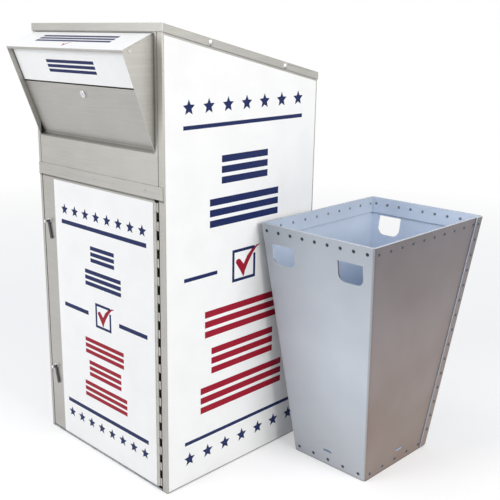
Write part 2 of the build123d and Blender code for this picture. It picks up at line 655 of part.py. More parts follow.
# Hinge: two leaves with knuckles in turn along one pin
knuckle_count = int(DOOR_HEIGHT // KNUCKLE)
hinge_length = knuckle_count * KNUCKLE
hinge_foot = DOOR_BOTTOM + (DOOR_HEIGHT - hinge_length) / 2
knuckle_feet = [hinge_foot + index * KNUCKLE + KNUCKLE_GAP / 2 for index in range(knuckle_count)]
knuckle_length = KNUCKLE - KNUCKLE_GAP
pin_spot = [(HINGE_X, HINGE_Y)]
notch = KNUCKLE_RADIUS + LEAF_NOTCH
UPWARD = (Align.CENTER, Align.CENTER, Align.MIN)


def add_knuckles(feet, tab_spot, tab_size):
    """Add knuckles at some heights, each with a tab that joins it to its leaf."""
    with Locations(*[(HINGE_X, HINGE_Y, foot) for foot in feet]):
        Cylinder(KNUCKLE_RADIUS, knuckle_length, align=UPWARD)
    with Locations(*[(*tab_spot, foot) for foot in feet]):
        Box(*tab_size, knuckle_length, align=UPWARD)
    bore = circles(Plane.XY.offset(hinge_foot - OVERRUN), pin_spot, PIN + 2 * PIN_FIT)
    extrude(bore, amount=hinge_length + 2 * OVERRUN, mode=Mode.SUBTRACT)


with BuildPart() as door_hinge_leaf:
    leaf_front = HINGE_Y + notch
    leaf_back = FRONT + DOOR_DEPTH
    leaf_x = DOOR_RIGHT + LEAF / 2
    with Locations((leaf_x, (leaf_front + leaf_back) / 2, hinge_foot)):
        Box(LEAF, leaf_back - leaf_front, hinge_length, align=UPWARD)
    add_knuckles(knuckle_feet[1::2], (leaf_x, HINGE_Y + notch / 2), (LEAF, notch))
save(door_hinge_leaf, "door_hinge_leaf")

with BuildPart() as frame_hinge_leaf:
    leaf_back = STOP_Y - STEEL
    leaf_x = RIGHT_EDGE - LEAF / 2
    with Locations((leaf_x, (leaf_front + leaf_back) / 2, hinge_foot)):
        Box(LEAF, leaf_back - leaf_front, hinge_length, align=UPWARD)
    with Locations(*[(leaf_x, HINGE_Y + notch / 2, foot) for foot in knuckle_feet[::2]]):
        Box(LEAF, notch, knuckle_length, align=UPWARD)
    tab_left = HINGE_X + KNUCKLE_RADIUS / 2
    tab_middle = (tab_left + RIGHT_EDGE) / 2
    add_knuckles(knuckle_feet[::2], (tab_middle, HINGE_Y + LEAF / 2), (RIGHT_EDGE - tab_left, LEAF))
save(frame_hinge_leaf, "frame_hinge_leaf")

with BuildPart() as hinge_pin:
    extrude(circles(Plane.XY.offset(hinge_foot), pin_spot, PIN), amount=hinge_length)
    extrude(circles(Plane.XY.offset(hinge_foot), pin_spot, PIN_HEAD), amount=-PIN_HEAD_HEIGHT)
    extrude(circles(Plane.XY.offset(hinge_foot + hinge_length), pin_spot, PIN_HEAD), amount=PIN_HEAD_HEIGHT)
save(hinge_pin, "hinge_pin")

# Latches: a body and nut clamped in the door's skin, a handle with a bright cap on its hub, turning
# on a spindle, and a cam behind the stop
lean = atan2(HANDLE_LEAN_OUT, HANDLE_LENGTH)
bezel_face = FRONT - LATCH_BEZEL_HEIGHT
handle_back = bezel_face - RUNNING_GAP
for name, z in latch_heights.items():
    spot = [(LATCH_X, z)]
    with BuildPart() as latch_body:
        extrude(circles(facing_front(FRONT), spot, LATCH_BEZEL), amount=LATCH_BEZEL_HEIGHT)
        extrude(circles(facing_front(FRONT), spot, LATCH_BARREL), amount=FRONT + RUNNING_GAP - CAM_Y)
        spindle_hole = circles(facing_front(bezel_face), spot, SPINDLE + 2 * PIN_FIT)
        extrude(spindle_hole, amount=bezel_face - CAM_Y, mode=Mode.SUBTRACT)
    save(latch_body, f"{name}_latch_body")

    with BuildPart() as latch_nut:
        with BuildSketch(facing_front(FRONT + STEEL)):
            with Locations(*spot):
                RegularPolygon(LATCH_NUT_FLATS / 2, 6, major_radius=False)
                Circle(LATCH_BARREL / 2 + HOLE_FIT, mode=Mode.SUBTRACT)
        extrude(amount=-LATCH_NUT_HEIGHT)
    save(latch_nut, f"{name}_latch_nut")

    with BuildPart() as latch_handle:
        tip = HANDLE_LENGTH - HANDLE_TIP / 2
        with BuildSketch(facing_front(handle_back)):
            with Locations(*spot):
                Circle(HANDLE_HEAD / 2)
            with Locations((LATCH_X + tip * sin(lean), z - tip * cos(lean))):
                Circle(HANDLE_TIP / 2)
            make_hull()
        extrude(amount=HANDLE_THICKNESS)
        outer_edges = latch_handle.faces().sort_by(Axis.Y)[0].edges()
        fillet(outer_edges, HANDLE_THICKNESS / 4)
        boss_face = facing_front(handle_back - HANDLE_THICKNESS)
        extrude(circles(boss_face, spot, HANDLE_BOSS), amount=HANDLE_BOSS_HEIGHT)
        extrude(circles(facing_front(handle_back), spot, SPINDLE), amount=handle_back - CAM_Y - CAM_STEEL)
    save(latch_handle, f"{name}_latch_handle")

    with BuildPart() as latch_cap:
        cap_face = facing_front(handle_back - HANDLE_THICKNESS - HANDLE_BOSS_HEIGHT)
        extrude(circles(cap_face, spot, LATCH_CAP), amount=LATCH_CAP_HEIGHT)
        fillet(latch_cap.faces().sort_by(Axis.Y)[0].edges(), LATCH_CAP_ROUND)
    save(latch_cap, f"{name}_latch_cap")

    with BuildPart() as latch_cam:
        down = lean - radians(90)
        extrude(cam_face(facing_front(CAM_Y), LATCH_X, z, CAM_REACH, down, SPINDLE), amount=-CAM_STEEL)
    save(latch_cam, f"{name}_latch_cam")

    with BuildPart() as latch_screw:
        extrude(circles(facing_front(CAM_Y + CAM_STEEL), spot, SCREW_HEAD), amount=-SCREW_HEAD_HEIGHT)
    save(latch_screw, f"{name}_latch_screw")

# White printed sheets: thin film on the door, both sides, the flap and the hood's top
with BuildPart() as door_film:
    film_left = DOOR_LEFT + DOOR_FILM_LEFT
    film_right = DOOR_RIGHT - DOOR_FILM_RIGHT
    film_low = DOOR_BOTTOM + FILM_EDGE
    film_high = DOOR_TOP - DOOR_FILM_TOP
    with BuildSketch(facing_front(FRONT)):
        with Locations(((film_left + film_right) / 2, (film_low + film_high) / 2)):
            Rectangle(film_right - film_left, film_high - film_low)
    extrude(amount=FILM)
save(door_film, "door_film")

film_front = FRONT + FILM_MARGIN
film_back = BACK - FILM_MARGIN
film_drop = ROOF_FLANGE + FILM_ROOF_GAP
side_film_points = [(film_front, FILM_MARGIN), (film_back, FILM_MARGIN),
                    (film_back, roof_top(film_back) - film_drop),
                    (film_front, roof_top(film_front) - film_drop)]
for name, film_x in (("left", LEFT - FILM), ("right", RIGHT)):
    with BuildPart() as side_film:
        extrude(outline(Plane.YZ.offset(film_x), side_film_points), amount=FILM)
    save(side_film, f"{name}_side_film")

with BuildPart() as flap_film:
    with BuildSketch(HOOD_FACE.offset(-RECESS)):
        with Locations((HOOD_MIDDLE, (FLAP_BOTTOM + FLAP_HEAD) / 2)):
            Rectangle(flap_width - 2 * FILM_EDGE, FLAP_HEAD - FLAP_BOTTOM - 2 * FILM_EDGE)
    extrude(amount=FILM)
save(flap_film, "flap_film")

with BuildPart() as hood_film:
    film_path = [hood_point(HOOD_LENGTH, 0), (FRONT, HOOD_TOP)]
    film_start = HOOD_LEFT + FILM_EDGE
    film_width = HOOD_RIGHT - FILM_EDGE - film_start
    extrude(outline(Plane.YZ.offset(film_start), folded(film_path, FILM)), amount=film_width)
save(hood_film, "hood_film")


# Bin: one sheet of fluted plastic, tapering to the base, its four walls parted at the folds
def bin_size(height, inset):
    """Width and length of the bin at a height, drawn in by an inset."""
    share = height / BIN_HEIGHT
    width = BIN_BASE_WIDTH + (BIN_TOP_WIDTH - BIN_BASE_WIDTH) * share
    length = BIN_BASE_LENGTH + (BIN_TOP_LENGTH - BIN_BASE_LENGTH) * share
    return width - 2 * inset, length - 2 * inset


def bin_block(low, high, inset):
    """The bin's tapered shape between two heights, drawn in by an inset, its upright edges rounded."""
    low_sizes = bin_size(low, inset)
    high_sizes = bin_size(high, inset)
    halves = [(a / 2, b / 2) for a, b in zip(low_sizes, high_sizes)]
    across, along = [[(-a, low), (a, low), (b, high), (-b, high)] for a, b in halves]
    with BuildPart() as block:
        extrude(outline(BIN_ACROSS, across), BIN_TOP_LENGTH, both=True)
        extrude(outline(BIN_ALONG, along), BIN_TOP_WIDTH, both=True, mode=Mode.INTERSECT)
        upright = block.edges().filter_by(lambda edge: abs(edge.tangent_at(0).Z) > STEEP_SHARE)
        fillet(upright, BIN_CORNER - inset)
    return block.part


def bin_side(outward):
    """The leaning plane of one wall, from the middle of its rim, facing outward."""
    out_x, out_y = outward
    top = abs(out_x) * BIN_TOP_WIDTH / 2 + abs(out_y) * BIN_TOP_LENGTH / 2
    base = abs(out_x) * BIN_BASE_WIDTH / 2 + abs(out_y) * BIN_BASE_LENGTH / 2
    angle = atan2(top - base, BIN_HEIGHT)
    rim = (BIN_X + out_x * top, BIN_BACK_SHIFT + out_y * top, BIN_HEIGHT)
    facing = (out_x * cos(angle), out_y * cos(angle), -sin(angle))
    return Plane(origin=rim, x_dir=(-out_y, out_x, 0), z_dir=facing), 1 / cos(angle)


BIN_SIDES = {"front": (0, -1), "back": (0, 1), "left": (-1, 0), "right": (1, 0)}
seam_reach = BIN_CORNER + SEAM_WIDTH


def rim_spots(name):
    """Places of the rim's rivets on one wall, clear of the seam flap on the right wall."""
    along = bin_size(BIN_HEIGHT, 0)[0 if name in ("front", "back") else 1]
    count = SHORT_RIM_COUNT if name in ("front", "back") else LONG_RIM_COUNT
    far_margin = seam_reach + RIVET_MARGIN / 2 if name == "right" else RIVET_MARGIN
    return [(u, -RIM_RIVET_DROP) for u in evenly(RIVET_MARGIN - along / 2, along / 2 - far_margin, count)]


def base_spots(name, slope):
    """Places of the rivets that hold the base tray to one wall."""
    along = bin_size(BASE_RIVET_RISE, 0)[0 if name in ("front", "back") else 1]
    far_margin = seam_reach + RIVET_MARGIN / 2 if name == "right" else RIVET_MARGIN
    drop = (BIN_HEIGHT - BASE_RIVET_RISE) * slope
    return [(u, -drop) for u in evenly(RIVET_MARGIN - along / 2, along / 2 - far_margin, BASE_COUNT)]


seam_plane, seam_slope = bin_side(BIN_SIDES["right"])
seam_length = (BIN_HEIGHT - TRAY_EDGE - RIVET_MARGIN) * seam_slope
seam_middle_top = BIN_TOP_LENGTH / 2 - BIN_CORNER - SEAM_WIDTH / 2
seam_middle_base = BIN_BASE_LENGTH / 2 - BIN_CORNER - SEAM_WIDTH / 2
seam_spots = []
for drop in evenly(RIM_RIVET_DROP, seam_length, SEAM_COUNT):
    share = drop / (BIN_HEIGHT * seam_slope)
    seam_spots.append((seam_middle_top + (seam_middle_base - seam_middle_top) * share, -drop))
RIVET_HOLE = BIN_RIVET_SHANK + 2 * HOLE_FIT
WALL_GRIP = BIN_WALL + BIN_GAP + HEM_WALL


def hand_holes(plane):
    """Two hand holes in a wall, flat at the top and rounded below."""
    with BuildSketch(plane) as holes:
        middle = -HAND_HOLE_DROP - HAND_HOLE_HEIGHT / 2
        with Locations((-HAND_HOLE_OFFSET, middle), (HAND_HOLE_OFFSET, middle)):
            Rectangle(HAND_HOLE_WIDTH, HAND_HOLE_HEIGHT)
        fillet(holes.vertices().group_by(Axis.Y)[0], HAND_HOLE_ROUND)
    return holes.sketch


def fold_plane(outward, neighbour):
    """The plane through the fold between two walls, along the middle of its round."""
    out = Vector(*outward, 0)
    beside = Vector(*neighbour, 0)
    corner = out + beside
    base = Vector(corner.X * BIN_BASE_WIDTH / 2, corner.Y * BIN_BASE_LENGTH / 2, 0)
    rim = Vector(corner.X * BIN_TOP_WIDTH / 2, corner.Y * BIN_TOP_LENGTH / 2, BIN_HEIGHT)
    across = (rim - base).cross(corner)
    if across.dot(beside - out) < 0:
        across = -across
    return Plane(origin=base + Vector(BIN_X, BIN_BACK_SHIFT, 0), x_dir=corner, z_dir=across)


for name, outward in BIN_SIDES.items():
    plane, slope = bin_side(outward)
    outside = plane.offset(OVERRUN)
    depth = -BIN_WALL - 2 * OVERRUN
    out_x, out_y = outward
    with BuildPart() as bin_wall:
        add(bin_block(0, BIN_HEIGHT, 0))
        add(bin_block(-OVERRUN, BIN_HEIGHT + OVERRUN, BIN_WALL), mode=Mode.SUBTRACT)
        for turn in (-1, 1):
            split(bisect_by=fold_plane(outward, (turn * out_y, turn * out_x)), keep=Keep.BOTTOM)
        spots = rim_spots(name) + base_spots(name, slope)
        if name == "right":
            spots += seam_spots
        extrude(circles(outside, spots, RIVET_HOLE), amount=depth, mode=Mode.SUBTRACT)
        with BuildSketch(outside):
            with Locations((0, (NOTCH_RISE - BIN_HEIGHT) * slope)):
                SlotOverall(NOTCH_WIDTH, NOTCH_HEIGHT)
        extrude(amount=depth, mode=Mode.SUBTRACT)
        if name in ("front", "back"):
            extrude(hand_holes(outside), amount=depth, mode=Mode.SUBTRACT)
    save(bin_wall, f"bin_{name}_wall")

# Hem: the strip folded in along the rim
with BuildPart() as bin_hem:
    hem_inset = BIN_WALL + BIN_GAP
    add(bin_block(BIN_HEIGHT - HEM_HEIGHT, BIN_HEIGHT, hem_inset))
    hem_low = BIN_HEIGHT - HEM_HEIGHT - OVERRUN
    add(bin_block(hem_low, BIN_HEIGHT + OVERRUN, hem_inset + HEM_WALL), mode=Mode.SUBTRACT)
    for name, outward in BIN_SIDES.items():
        plane, slope = bin_side(outward)
        holes_at = rim_spots(name) + (seam_spots[:1] if name == "right" else [])
        extrude(circles(plane, holes_at, RIVET_HOLE), amount=-WALL_GRIP - OVERRUN, mode=Mode.SUBTRACT)
save(bin_hem, "bin_hem")

# Base: a tray whose turned-up edges are riveted inside the walls
with BuildPart() as bin_base:
    tray_inset = BIN_WALL + BIN_GAP
    add(bin_block(0, TRAY_EDGE, tray_inset))
    add(bin_block(TRAY_FLOOR, TRAY_EDGE + OVERRUN, tray_inset + TRAY_WALL), mode=Mode.SUBTRACT)
    for name, outward in BIN_SIDES.items():
        plane, slope = bin_side(outward)
        tray_depth = -tray_inset - TRAY_WALL - OVERRUN
        extrude(circles(plane, base_spots(name, slope), RIVET_HOLE), amount=tray_depth, mode=Mode.SUBTRACT)
save(bin_base, "bin_base")

# Seam flap: the end of the sheet, lapped over the right wall along its back corner
with BuildPart() as bin_seam_flap:
    top_u = BIN_TOP_LENGTH / 2 - BIN_CORNER
    base_u = BIN_BASE_LENGTH / 2 - BIN_CORNER
    base_v = -(BIN_HEIGHT - SEAM_END_GAP) * seam_slope
    flap_points = [(top_u - SEAM_WIDTH, 0), (top_u, 0), (base_u, base_v), (base_u - SEAM_WIDTH, base_v)]
    extrude(outline(seam_plane, flap_points), amount=SEAM_WALL)
    extrude(circles(seam_plane, seam_spots, RIVET_HOLE), amount=SEAM_WALL, mode=Mode.SUBTRACT)
save(bin_seam_flap, "bin_seam_flap")


def bin_rivet(grip):
    """One of the bin's plastic rivets for a given grip."""
    return rivet(BIN_RIVET, BIN_RIVET_HEIGHT, BIN_RIVET_SHANK, grip,
                 BIN_RIVET_TAIL, BIN_RIVET_TAIL_HEIGHT)


with BuildPart() as bin_rim_rivets:
    for name, outward in BIN_SIDES.items():
        plane, slope = bin_side(outward)
        with Locations(*spots_on(plane, rim_spots(name))):
            add(bin_rivet(WALL_GRIP))
save(bin_rim_rivets, "bin_rim_rivets")

with BuildPart() as bin_base_rivets:
    for name, outward in BIN_SIDES.items():
        plane, slope = bin_side(outward)
        with Locations(*spots_on(plane, base_spots(name, slope))):
            add(bin_rivet(BIN_WALL + BIN_GAP + TRAY_WALL))
save(bin_base_rivets, "bin_base_rivets")

with BuildPart() as bin_seam_rivets:
    with Locations(*spots_on(seam_plane.offset(SEAM_WALL), seam_spots[:1])):
        add(bin_rivet(SEAM_WALL + WALL_GRIP))
    with Locations(*spots_on(seam_plane.offset(SEAM_WALL), seam_spots[1:])):
        add(bin_rivet(SEAM_WALL + BIN_WALL))
save(bin_seam_rivets, "bin_seam_rivets")
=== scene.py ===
import json
from math import cos, pi, radians, sin

import bmesh
import bpy
from mathutils import Matrix, Vector


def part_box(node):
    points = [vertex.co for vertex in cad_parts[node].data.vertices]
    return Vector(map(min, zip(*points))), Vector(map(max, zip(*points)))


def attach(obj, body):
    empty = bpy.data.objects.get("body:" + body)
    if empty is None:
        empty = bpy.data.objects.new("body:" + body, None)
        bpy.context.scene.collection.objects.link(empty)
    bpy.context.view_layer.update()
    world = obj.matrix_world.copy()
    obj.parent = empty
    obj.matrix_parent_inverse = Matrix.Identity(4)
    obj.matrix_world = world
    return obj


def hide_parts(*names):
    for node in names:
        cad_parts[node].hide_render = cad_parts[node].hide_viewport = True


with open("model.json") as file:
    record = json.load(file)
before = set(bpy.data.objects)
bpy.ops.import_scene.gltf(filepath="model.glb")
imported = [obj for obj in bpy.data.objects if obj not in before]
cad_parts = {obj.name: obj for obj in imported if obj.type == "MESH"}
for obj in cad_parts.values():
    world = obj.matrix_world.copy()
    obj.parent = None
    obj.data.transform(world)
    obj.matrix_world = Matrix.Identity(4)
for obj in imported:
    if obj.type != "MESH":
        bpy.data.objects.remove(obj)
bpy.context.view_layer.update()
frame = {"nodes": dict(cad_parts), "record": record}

# The camera comes first. It stands where the photographer stood, to the right of the cabinet's
# front and as high as its roof. Its small shift stands for the photograph's off-centre crop.
IMAGE = 500
FOCAL_PIXELS = 814.3
CROP_CENTRE_X = 200
CAMERA_TURN, CAMERA_RISE = radians(46.80), radians(15.49)
camera_data = bpy.data.cameras.new("photo_camera")
camera_data.lens = camera_data.sensor_width * FOCAL_PIXELS / IMAGE
camera_data.shift_x = (IMAGE / 2 - CROP_CENTRE_X) / IMAGE
camera = bpy.data.objects.new("photo_camera", camera_data)
bpy.context.scene.collection.objects.link(camera)
camera.location = (1.8709, -1.6569, 1.3059)
level_share = cos(CAMERA_RISE)
backward = Vector((sin(CAMERA_TURN) * level_share, -cos(CAMERA_TURN) * level_share, sin(CAMERA_RISE)))
camera.rotation_mode = "QUATERNION"
camera.rotation_quaternion = backward.to_track_quat("Z", "Y")
bpy.context.scene.camera = camera
bpy.context.scene.view_settings.view_transform = "Standard"


# The floor is a plain pale sweep that fades to white far off. What the camera, gloss and glass see
# behind the object is white. The light comes from an even sky and soft boxes: one far round to the
# right for the sides, one to the left for the front, so that the hood shades the post beside it.
def linear(hex_colour):
    """The linear colour of an sRGB hex value."""
    shares = [int(hex_colour[place:place + 2], 16) / 255 for place in (1, 3, 5)]
    return (*[s / 12.92 if s <= 0.04045 else ((s + 0.055) / 1.055) ** 2.4 for s in shares], 1.0)


def feed(tree, node, inputs):
    """Set or link a node's inputs by name or number; a node as a value is its first output in use."""
    for name, value in inputs.items():
        if isinstance(value, bpy.types.Node):
            value = next(output for output in value.outputs if output.enabled)
        if isinstance(value, bpy.types.NodeSocket):
            tree.links.new(value, node.inputs[name])
        else:
            node.inputs[name].default_value = value


def add_node(tree, kind, inputs=None, stops=(), **settings):
    """Add a node with its settings and inputs, and a ramp's stops as places with hex colours."""
    node = tree.nodes.new(kind)
    for name, value in settings.items():
        setattr(node, name, value)
    for number, (place, colour) in enumerate(stops):
        node.color_ramp.elements[number].position = place
        node.color_ramp.elements[number].color = linear(colour)
    feed(tree, node, inputs or {})
    return node


def new_material(name):
    """A new material: itself, its tree, its shader and its Object coordinates."""
    made = bpy.data.materials.new(name)
    made.use_nodes = True
    where = add_node(made.node_tree, "ShaderNodeTexCoord").outputs["Object"]
    return made, made.node_tree, made.node_tree.nodes["Principled BSDF"], where


def add_object(name, mesh):
    """A new object in the scene that shows a mesh."""
    piece = bpy.data.objects.new(name, mesh)
    bpy.context.scene.collection.objects.link(piece)
    return piece


FLOOR_HALF, FLOOR_DROP = 30.0, 0.0004
floor_mesh = bpy.data.meshes.new("studio_floor")
floor_signs = ((-1, -1), (1, -1), (1, 1), (-1, 1))
floor_mesh.from_pydata([(x * FLOOR_HALF, y * FLOOR_HALF, -FLOOR_DROP) for x, y in floor_signs],
                       [], [(0, 1, 2, 3)])
floor = add_object("studio_floor", floor_mesh)
floor_paint, tree, shader, where = new_material("pale_studio_floor")
feed(tree, shader, {"Base Color": linear("#D6D6D6"), "Roughness": 0.9})
glow = add_node(tree, "ShaderNodeEmission", {"Strength": 0.36})
lit = add_node(tree, "ShaderNodeAddShader", {0: shader, 1: glow})
far_white = add_node(tree, "ShaderNodeEmission", {"Strength": 1.0})
distance = add_node(tree, "ShaderNodeVectorMath", {0: where}, operation="LENGTH")
farness = add_node(tree, "ShaderNodeMapRange", {"Value": distance, "From Min": 1.6, "From Max": 4.5})
fade = add_node(tree, "ShaderNodeMixShader", {0: farness, 1: lit, 2: far_white})
seen = add_node(tree, "ShaderNodeLightPath").outputs
looked_at = add_node(tree, "ShaderNodeMath", {
    0: seen["Is Camera Ray"], 1: seen["Is Glossy Ray"]}, operation="MAXIMUM")
look = add_node(tree, "ShaderNodeMixShader", {0: looked_at, 1: shader, 2: fade})
feed(tree, tree.nodes["Material Output"], {"Surface": look})
floor_mesh.materials.append(floor_paint)

world = bpy.data.worlds.new("studio_sky")
bpy.context.scene.world = world
world.use_nodes = True
tree = world.node_tree
tree.nodes.clear()
seen = add_node(tree, "ShaderNodeLightPath").outputs
looked_at = add_node(tree, "ShaderNodeMath", {
    0: seen["Is Camera Ray"], 1: seen["Is Glossy Ray"]}, operation="MAXIMUM")
looked_at = add_node(tree, "ShaderNodeMath", {
    0: looked_at, 1: seen["Is Transmission Ray"]}, operation="MAXIMUM")
sky = add_node(tree, "ShaderNodeBackground", {"Color": linear("#F4F7FF"), "Strength": 0.52})
backdrop = add_node(tree, "ShaderNodeBackground", {"Color": linear("#FFFFFF"), "Strength": 1.0})
look = add_node(tree, "ShaderNodeMixShader", {0: looked_at, 1: sky, 2: backdrop})
add_node(tree, "ShaderNodeOutputWorld", {"Surface": look})

# Each soft box has its place, its side in metres, its power in watts and its tint.
LIT_POINT = Vector((0.15, 0, 0.6))
soft_boxes = {
    "side_box": ((4.2, 0.1, 2.4), 2.0, 104.0, "#FFFDF9"),
    "front_box": ((-1.4, -4.6, 2.4), 2.4, 112.0, "#FFFFFF"),
    "top_box": ((-0.4, -0.8, 4.6), 2.0, 26.0, "#FFFFFF"),
}
for name, (place, size, power, tint) in soft_boxes.items():
    lamp_data = bpy.data.lights.new(name, "AREA")
    lamp_data.size = size
    lamp_data.energy = power
    lamp_data.color = linear(tint)[:3]
    lamp = bpy.data.objects.new(name, lamp_data)
    bpy.context.scene.collection.objects.link(lamp)
    lamp.location = place
    lamp.rotation_mode = "QUATERNION"
    lamp.rotation_quaternion = (Vector(place) - LIT_POINT).to_track_quat("Z", "Y")


# Floor pan, chute, baffle and door stiffeners are zinc-plated sheet steel, folded and left bare.
# The plating has small dull crystals in several greys, which shows only inside the cabinet.
MM = 0.001
BODY_OF = {node: body for body, nodes in frame["record"]["behaviour"]["bodies"].items() for node in nodes}
WELD, MEETING = 0.002 * MM, 0.01 * MM
FLAT_ANGLE, SHARP_ANGLE = radians(0.5), radians(28)
WIDEST_CUT_EDGE = 3 * MM


def finished(name, material, edge=0.0, fold=0.0, nodes=None):
    """Show CAD nodes as one merged smooth mesh, its sharp edges eased by a width in millimetres.

    A sheet's outer folds are rounded by a width of their own. Where two of the nodes meet face to
    face, those faces go, so that the sheet runs on.
    """
    nodes = nodes or [name]
    node = nodes[0]
    merged = bmesh.new()
    for source in nodes:
        single = bmesh.new()
        single.from_mesh(frame["nodes"][source].data)
        bmesh.ops.remove_doubles(single, verts=single.verts, dist=WELD)
        bmesh.ops.dissolve_limit(single, angle_limit=FLAT_ANGLE, verts=single.verts, edges=single.edges)
        cleaned = bpy.data.meshes.new(source)
        single.to_mesh(cleaned)
        single.free()
        merged.from_mesh(cleaned)
        bpy.data.meshes.remove(cleaned)
    if len(nodes) > 1:
        bmesh.ops.remove_doubles(merged, verts=merged.verts, dist=MEETING)
        meetings = {}
        for face in merged.faces:
            meetings.setdefault(frozenset(corner.index for corner in face.verts), []).append(face)
        doubled = [face for faces in meetings.values() if len(faces) > 1 for face in faces]
        bmesh.ops.delete(merged, geom=doubled, context="FACES")
    weights = merged.edges.layers.float.new("bevel_weight_edge")
    widest = max(edge, fold)
    for line in merged.edges:
        if len(line.link_faces) == 2 and line.calc_face_angle() > SHARP_ANGLE:
            widths = [2 * face.calc_area() / face.calc_perimeter() for face in line.link_faces]
            folded = fold and line.is_convex and min(widths) > WIDEST_CUT_EDGE
            line[weights] = (fold if folded else edge) / widest if widest else 0.0
    mesh = bpy.data.meshes.new(f"{name}_{material.name}")
    merged.to_mesh(mesh)
    merged.free()
    for attribute in [a for a in mesh.attributes if a.name == "custom_normal"]:
        mesh.attributes.remove(attribute)
    mesh.materials.clear()
    mesh.materials.append(material)
    mesh.shade_smooth()
    mesh.set_sharp_from_angle(angle=SHARP_ANGLE)
    piece = add_object(f"{name}_{material.name}", mesh)
    if widest:
        ease = piece.modifiers.new("eased_edges", "BEVEL")
        ease.width = widest * MM
        ease.segments = 3
        ease.limit_method = "WEIGHT"
        ease.use_clamp_overlap = False
        ease.harden_normals = True
        bpy.context.view_layer.update()
        eased = piece.evaluated_get(bpy.context.evaluated_depsgraph_get())
        piece.data = bpy.data.meshes.new_from_object(eased)
        piece.modifiers.clear()
    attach(piece, BODY_OF[node])
    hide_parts(*nodes)
    return piece


zinc_plate, tree, shader, where = new_material("zinc_plated_sheet")
crystals = add_node(tree, "ShaderNodeTexVoronoi", {"Vector": where, "Scale": 1 / (9 * MM)}).outputs
tones = add_node(tree, "ShaderNodeValToRGB", {"Fac": crystals["Color"]}, ((0.0, "#8E9194"), (1.0, "#B9BCBE")))
dullness = add_node(tree, "ShaderNodeMapRange", {"Value": crystals["Color"], "To Min": 0.34, "To Max": 0.52})
relief = add_node(tree, "ShaderNodeBump", {
    "Strength": 0.25, "Distance": 0.05 * MM, "Height": crystals["Distance"]})
feed(tree, shader, {"Metallic": 1.0, "Base Color": tones, "Roughness": dullness, "Normal": relief})
for node in ("base_pan", "chute", "baffle", "door_stiffeners"):
    finished(node, zinc_plate, 0.4)


# Cabinet sheets: 2 mm stainless steel, folded, welded inside and left with its level brushed
# grain. The grain is drawn coarser than real, or it would be too fine to see. The sheets are a
# little wavy, their edges carry a painted highlight, painted shade lies in the corners, and
# painted shadow lies under the rail and at the hood's foot.
def painted_edge_highlight(tree, colour, radius, first, most, highlight, last=0.8):
    """Paint a highlight along edges onto a colour, and return it with the rounded normal that finds them.

    The painted highlight begins where the rounded normal falls to a first share of the flat one, and is
    at its most at a last share.
    """
    rounded = add_node(tree, "ShaderNodeBevel", {"Radius": radius * MM}, samples=4)
    flat = add_node(tree, "ShaderNodeNewGeometry").outputs["True Normal"]
    along = add_node(tree, "ShaderNodeVectorMath", {0: rounded, 1: flat}, operation="DOT_PRODUCT")
    edge_light = add_node(tree, "ShaderNodeMapRange", {
        "Value": along, "From Min": first, "From Max": last, "To Max": most})
    return add_node(tree, "ShaderNodeMix", {0: edge_light, 6: colour, 7: linear(highlight)}, data_type="RGBA"), rounded


def painted_corner_shade(tree, colour, reach, closed, clear, darkest):
    """Paint shade onto a colour where other faces are within a reach in millimetres.

    It is at its darkest where the surroundings are closed, and unchanged where they are clear.
    """
    corners = add_node(tree, "ShaderNodeAmbientOcclusion", {"Distance": reach * MM}, samples=6)
    shade_factor = add_node(tree, "ShaderNodeMapRange", {
        "Value": corners.outputs["AO"], "From Min": closed, "From Max": clear, "To Min": darkest})
    return add_node(tree, "ShaderNodeVectorMath", {0: colour, 1: shade_factor}, operation="MULTIPLY")


brushed_steel, tree, shader, where = new_material("brushed_stainless_steel")
level = add_node(tree, "ShaderNodeMapping", {"Vector": where, "Scale": (0.03, 0.03, 1.0)})
grain = add_node(tree, "ShaderNodeTexNoise", {"Vector": level, "Scale": 1 / (3 * MM), "Detail": 5.0})
clouds = add_node(tree, "ShaderNodeTexNoise", {"Vector": where, "Scale": 1 / (190 * MM), "Detail": 3.0})
mottle = add_node(tree, "ShaderNodeMix", {0: 0.45, 2: grain, 3: clouds})
tones = add_node(tree, "ShaderNodeValToRGB", {"Fac": mottle}, ((0.3, "#AAA8A3"), (0.7, "#BAB8B3")))
# The edges carry a painted highlight and the corners painted shade.
highlit, rounded = painted_edge_highlight(tree, tones, radius=1.8, first=0.995, most=0.5, highlight="#DEDDD6")
with_painted_shade = painted_corner_shade(tree, highlit, reach=14, closed=0.25, clear=0.8, darkest=0.6)
place = add_node(tree, "ShaderNodeSeparateXYZ", {0: where}).outputs
hood_low, hood_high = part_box("hood_lower_panel")
hood_middle, hood_half = (hood_low.x + hood_high.x) / 2, (hood_high.x - hood_low.x) / 2
rail_foot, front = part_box("drip_rail")[0].z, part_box("door_panel")[0].y
ON_FACE, NEAR_FACE = 1 * MM, 30 * MM
on_front = add_node(tree, "ShaderNodeMath", {0: place["Y"], 1: front, 2: ON_FACE}, operation="COMPARE")
below_hood = add_node(tree, "ShaderNodeMath", {
    0: place["X"], 1: hood_middle, 2: hood_half}, operation="COMPARE")
near_front = add_node(tree, "ShaderNodeMath", {0: place["Y"], 1: front + NEAR_FACE}, operation="LESS_THAN")
below_hood = add_node(tree, "ShaderNodeMath", {0: below_hood, 1: near_front}, operation="MULTIPLY")
RAIL_SHADOW, HOOD_SHADOW, HOOD_SHADOW_DROP = 7 * MM, 10 * MM, 3 * MM
SOFT_FOOT, SOFT_TOP = 2 * MM, 1.5 * MM
hood_shadow_foot = hood_low.z - HOOD_SHADOW_DROP
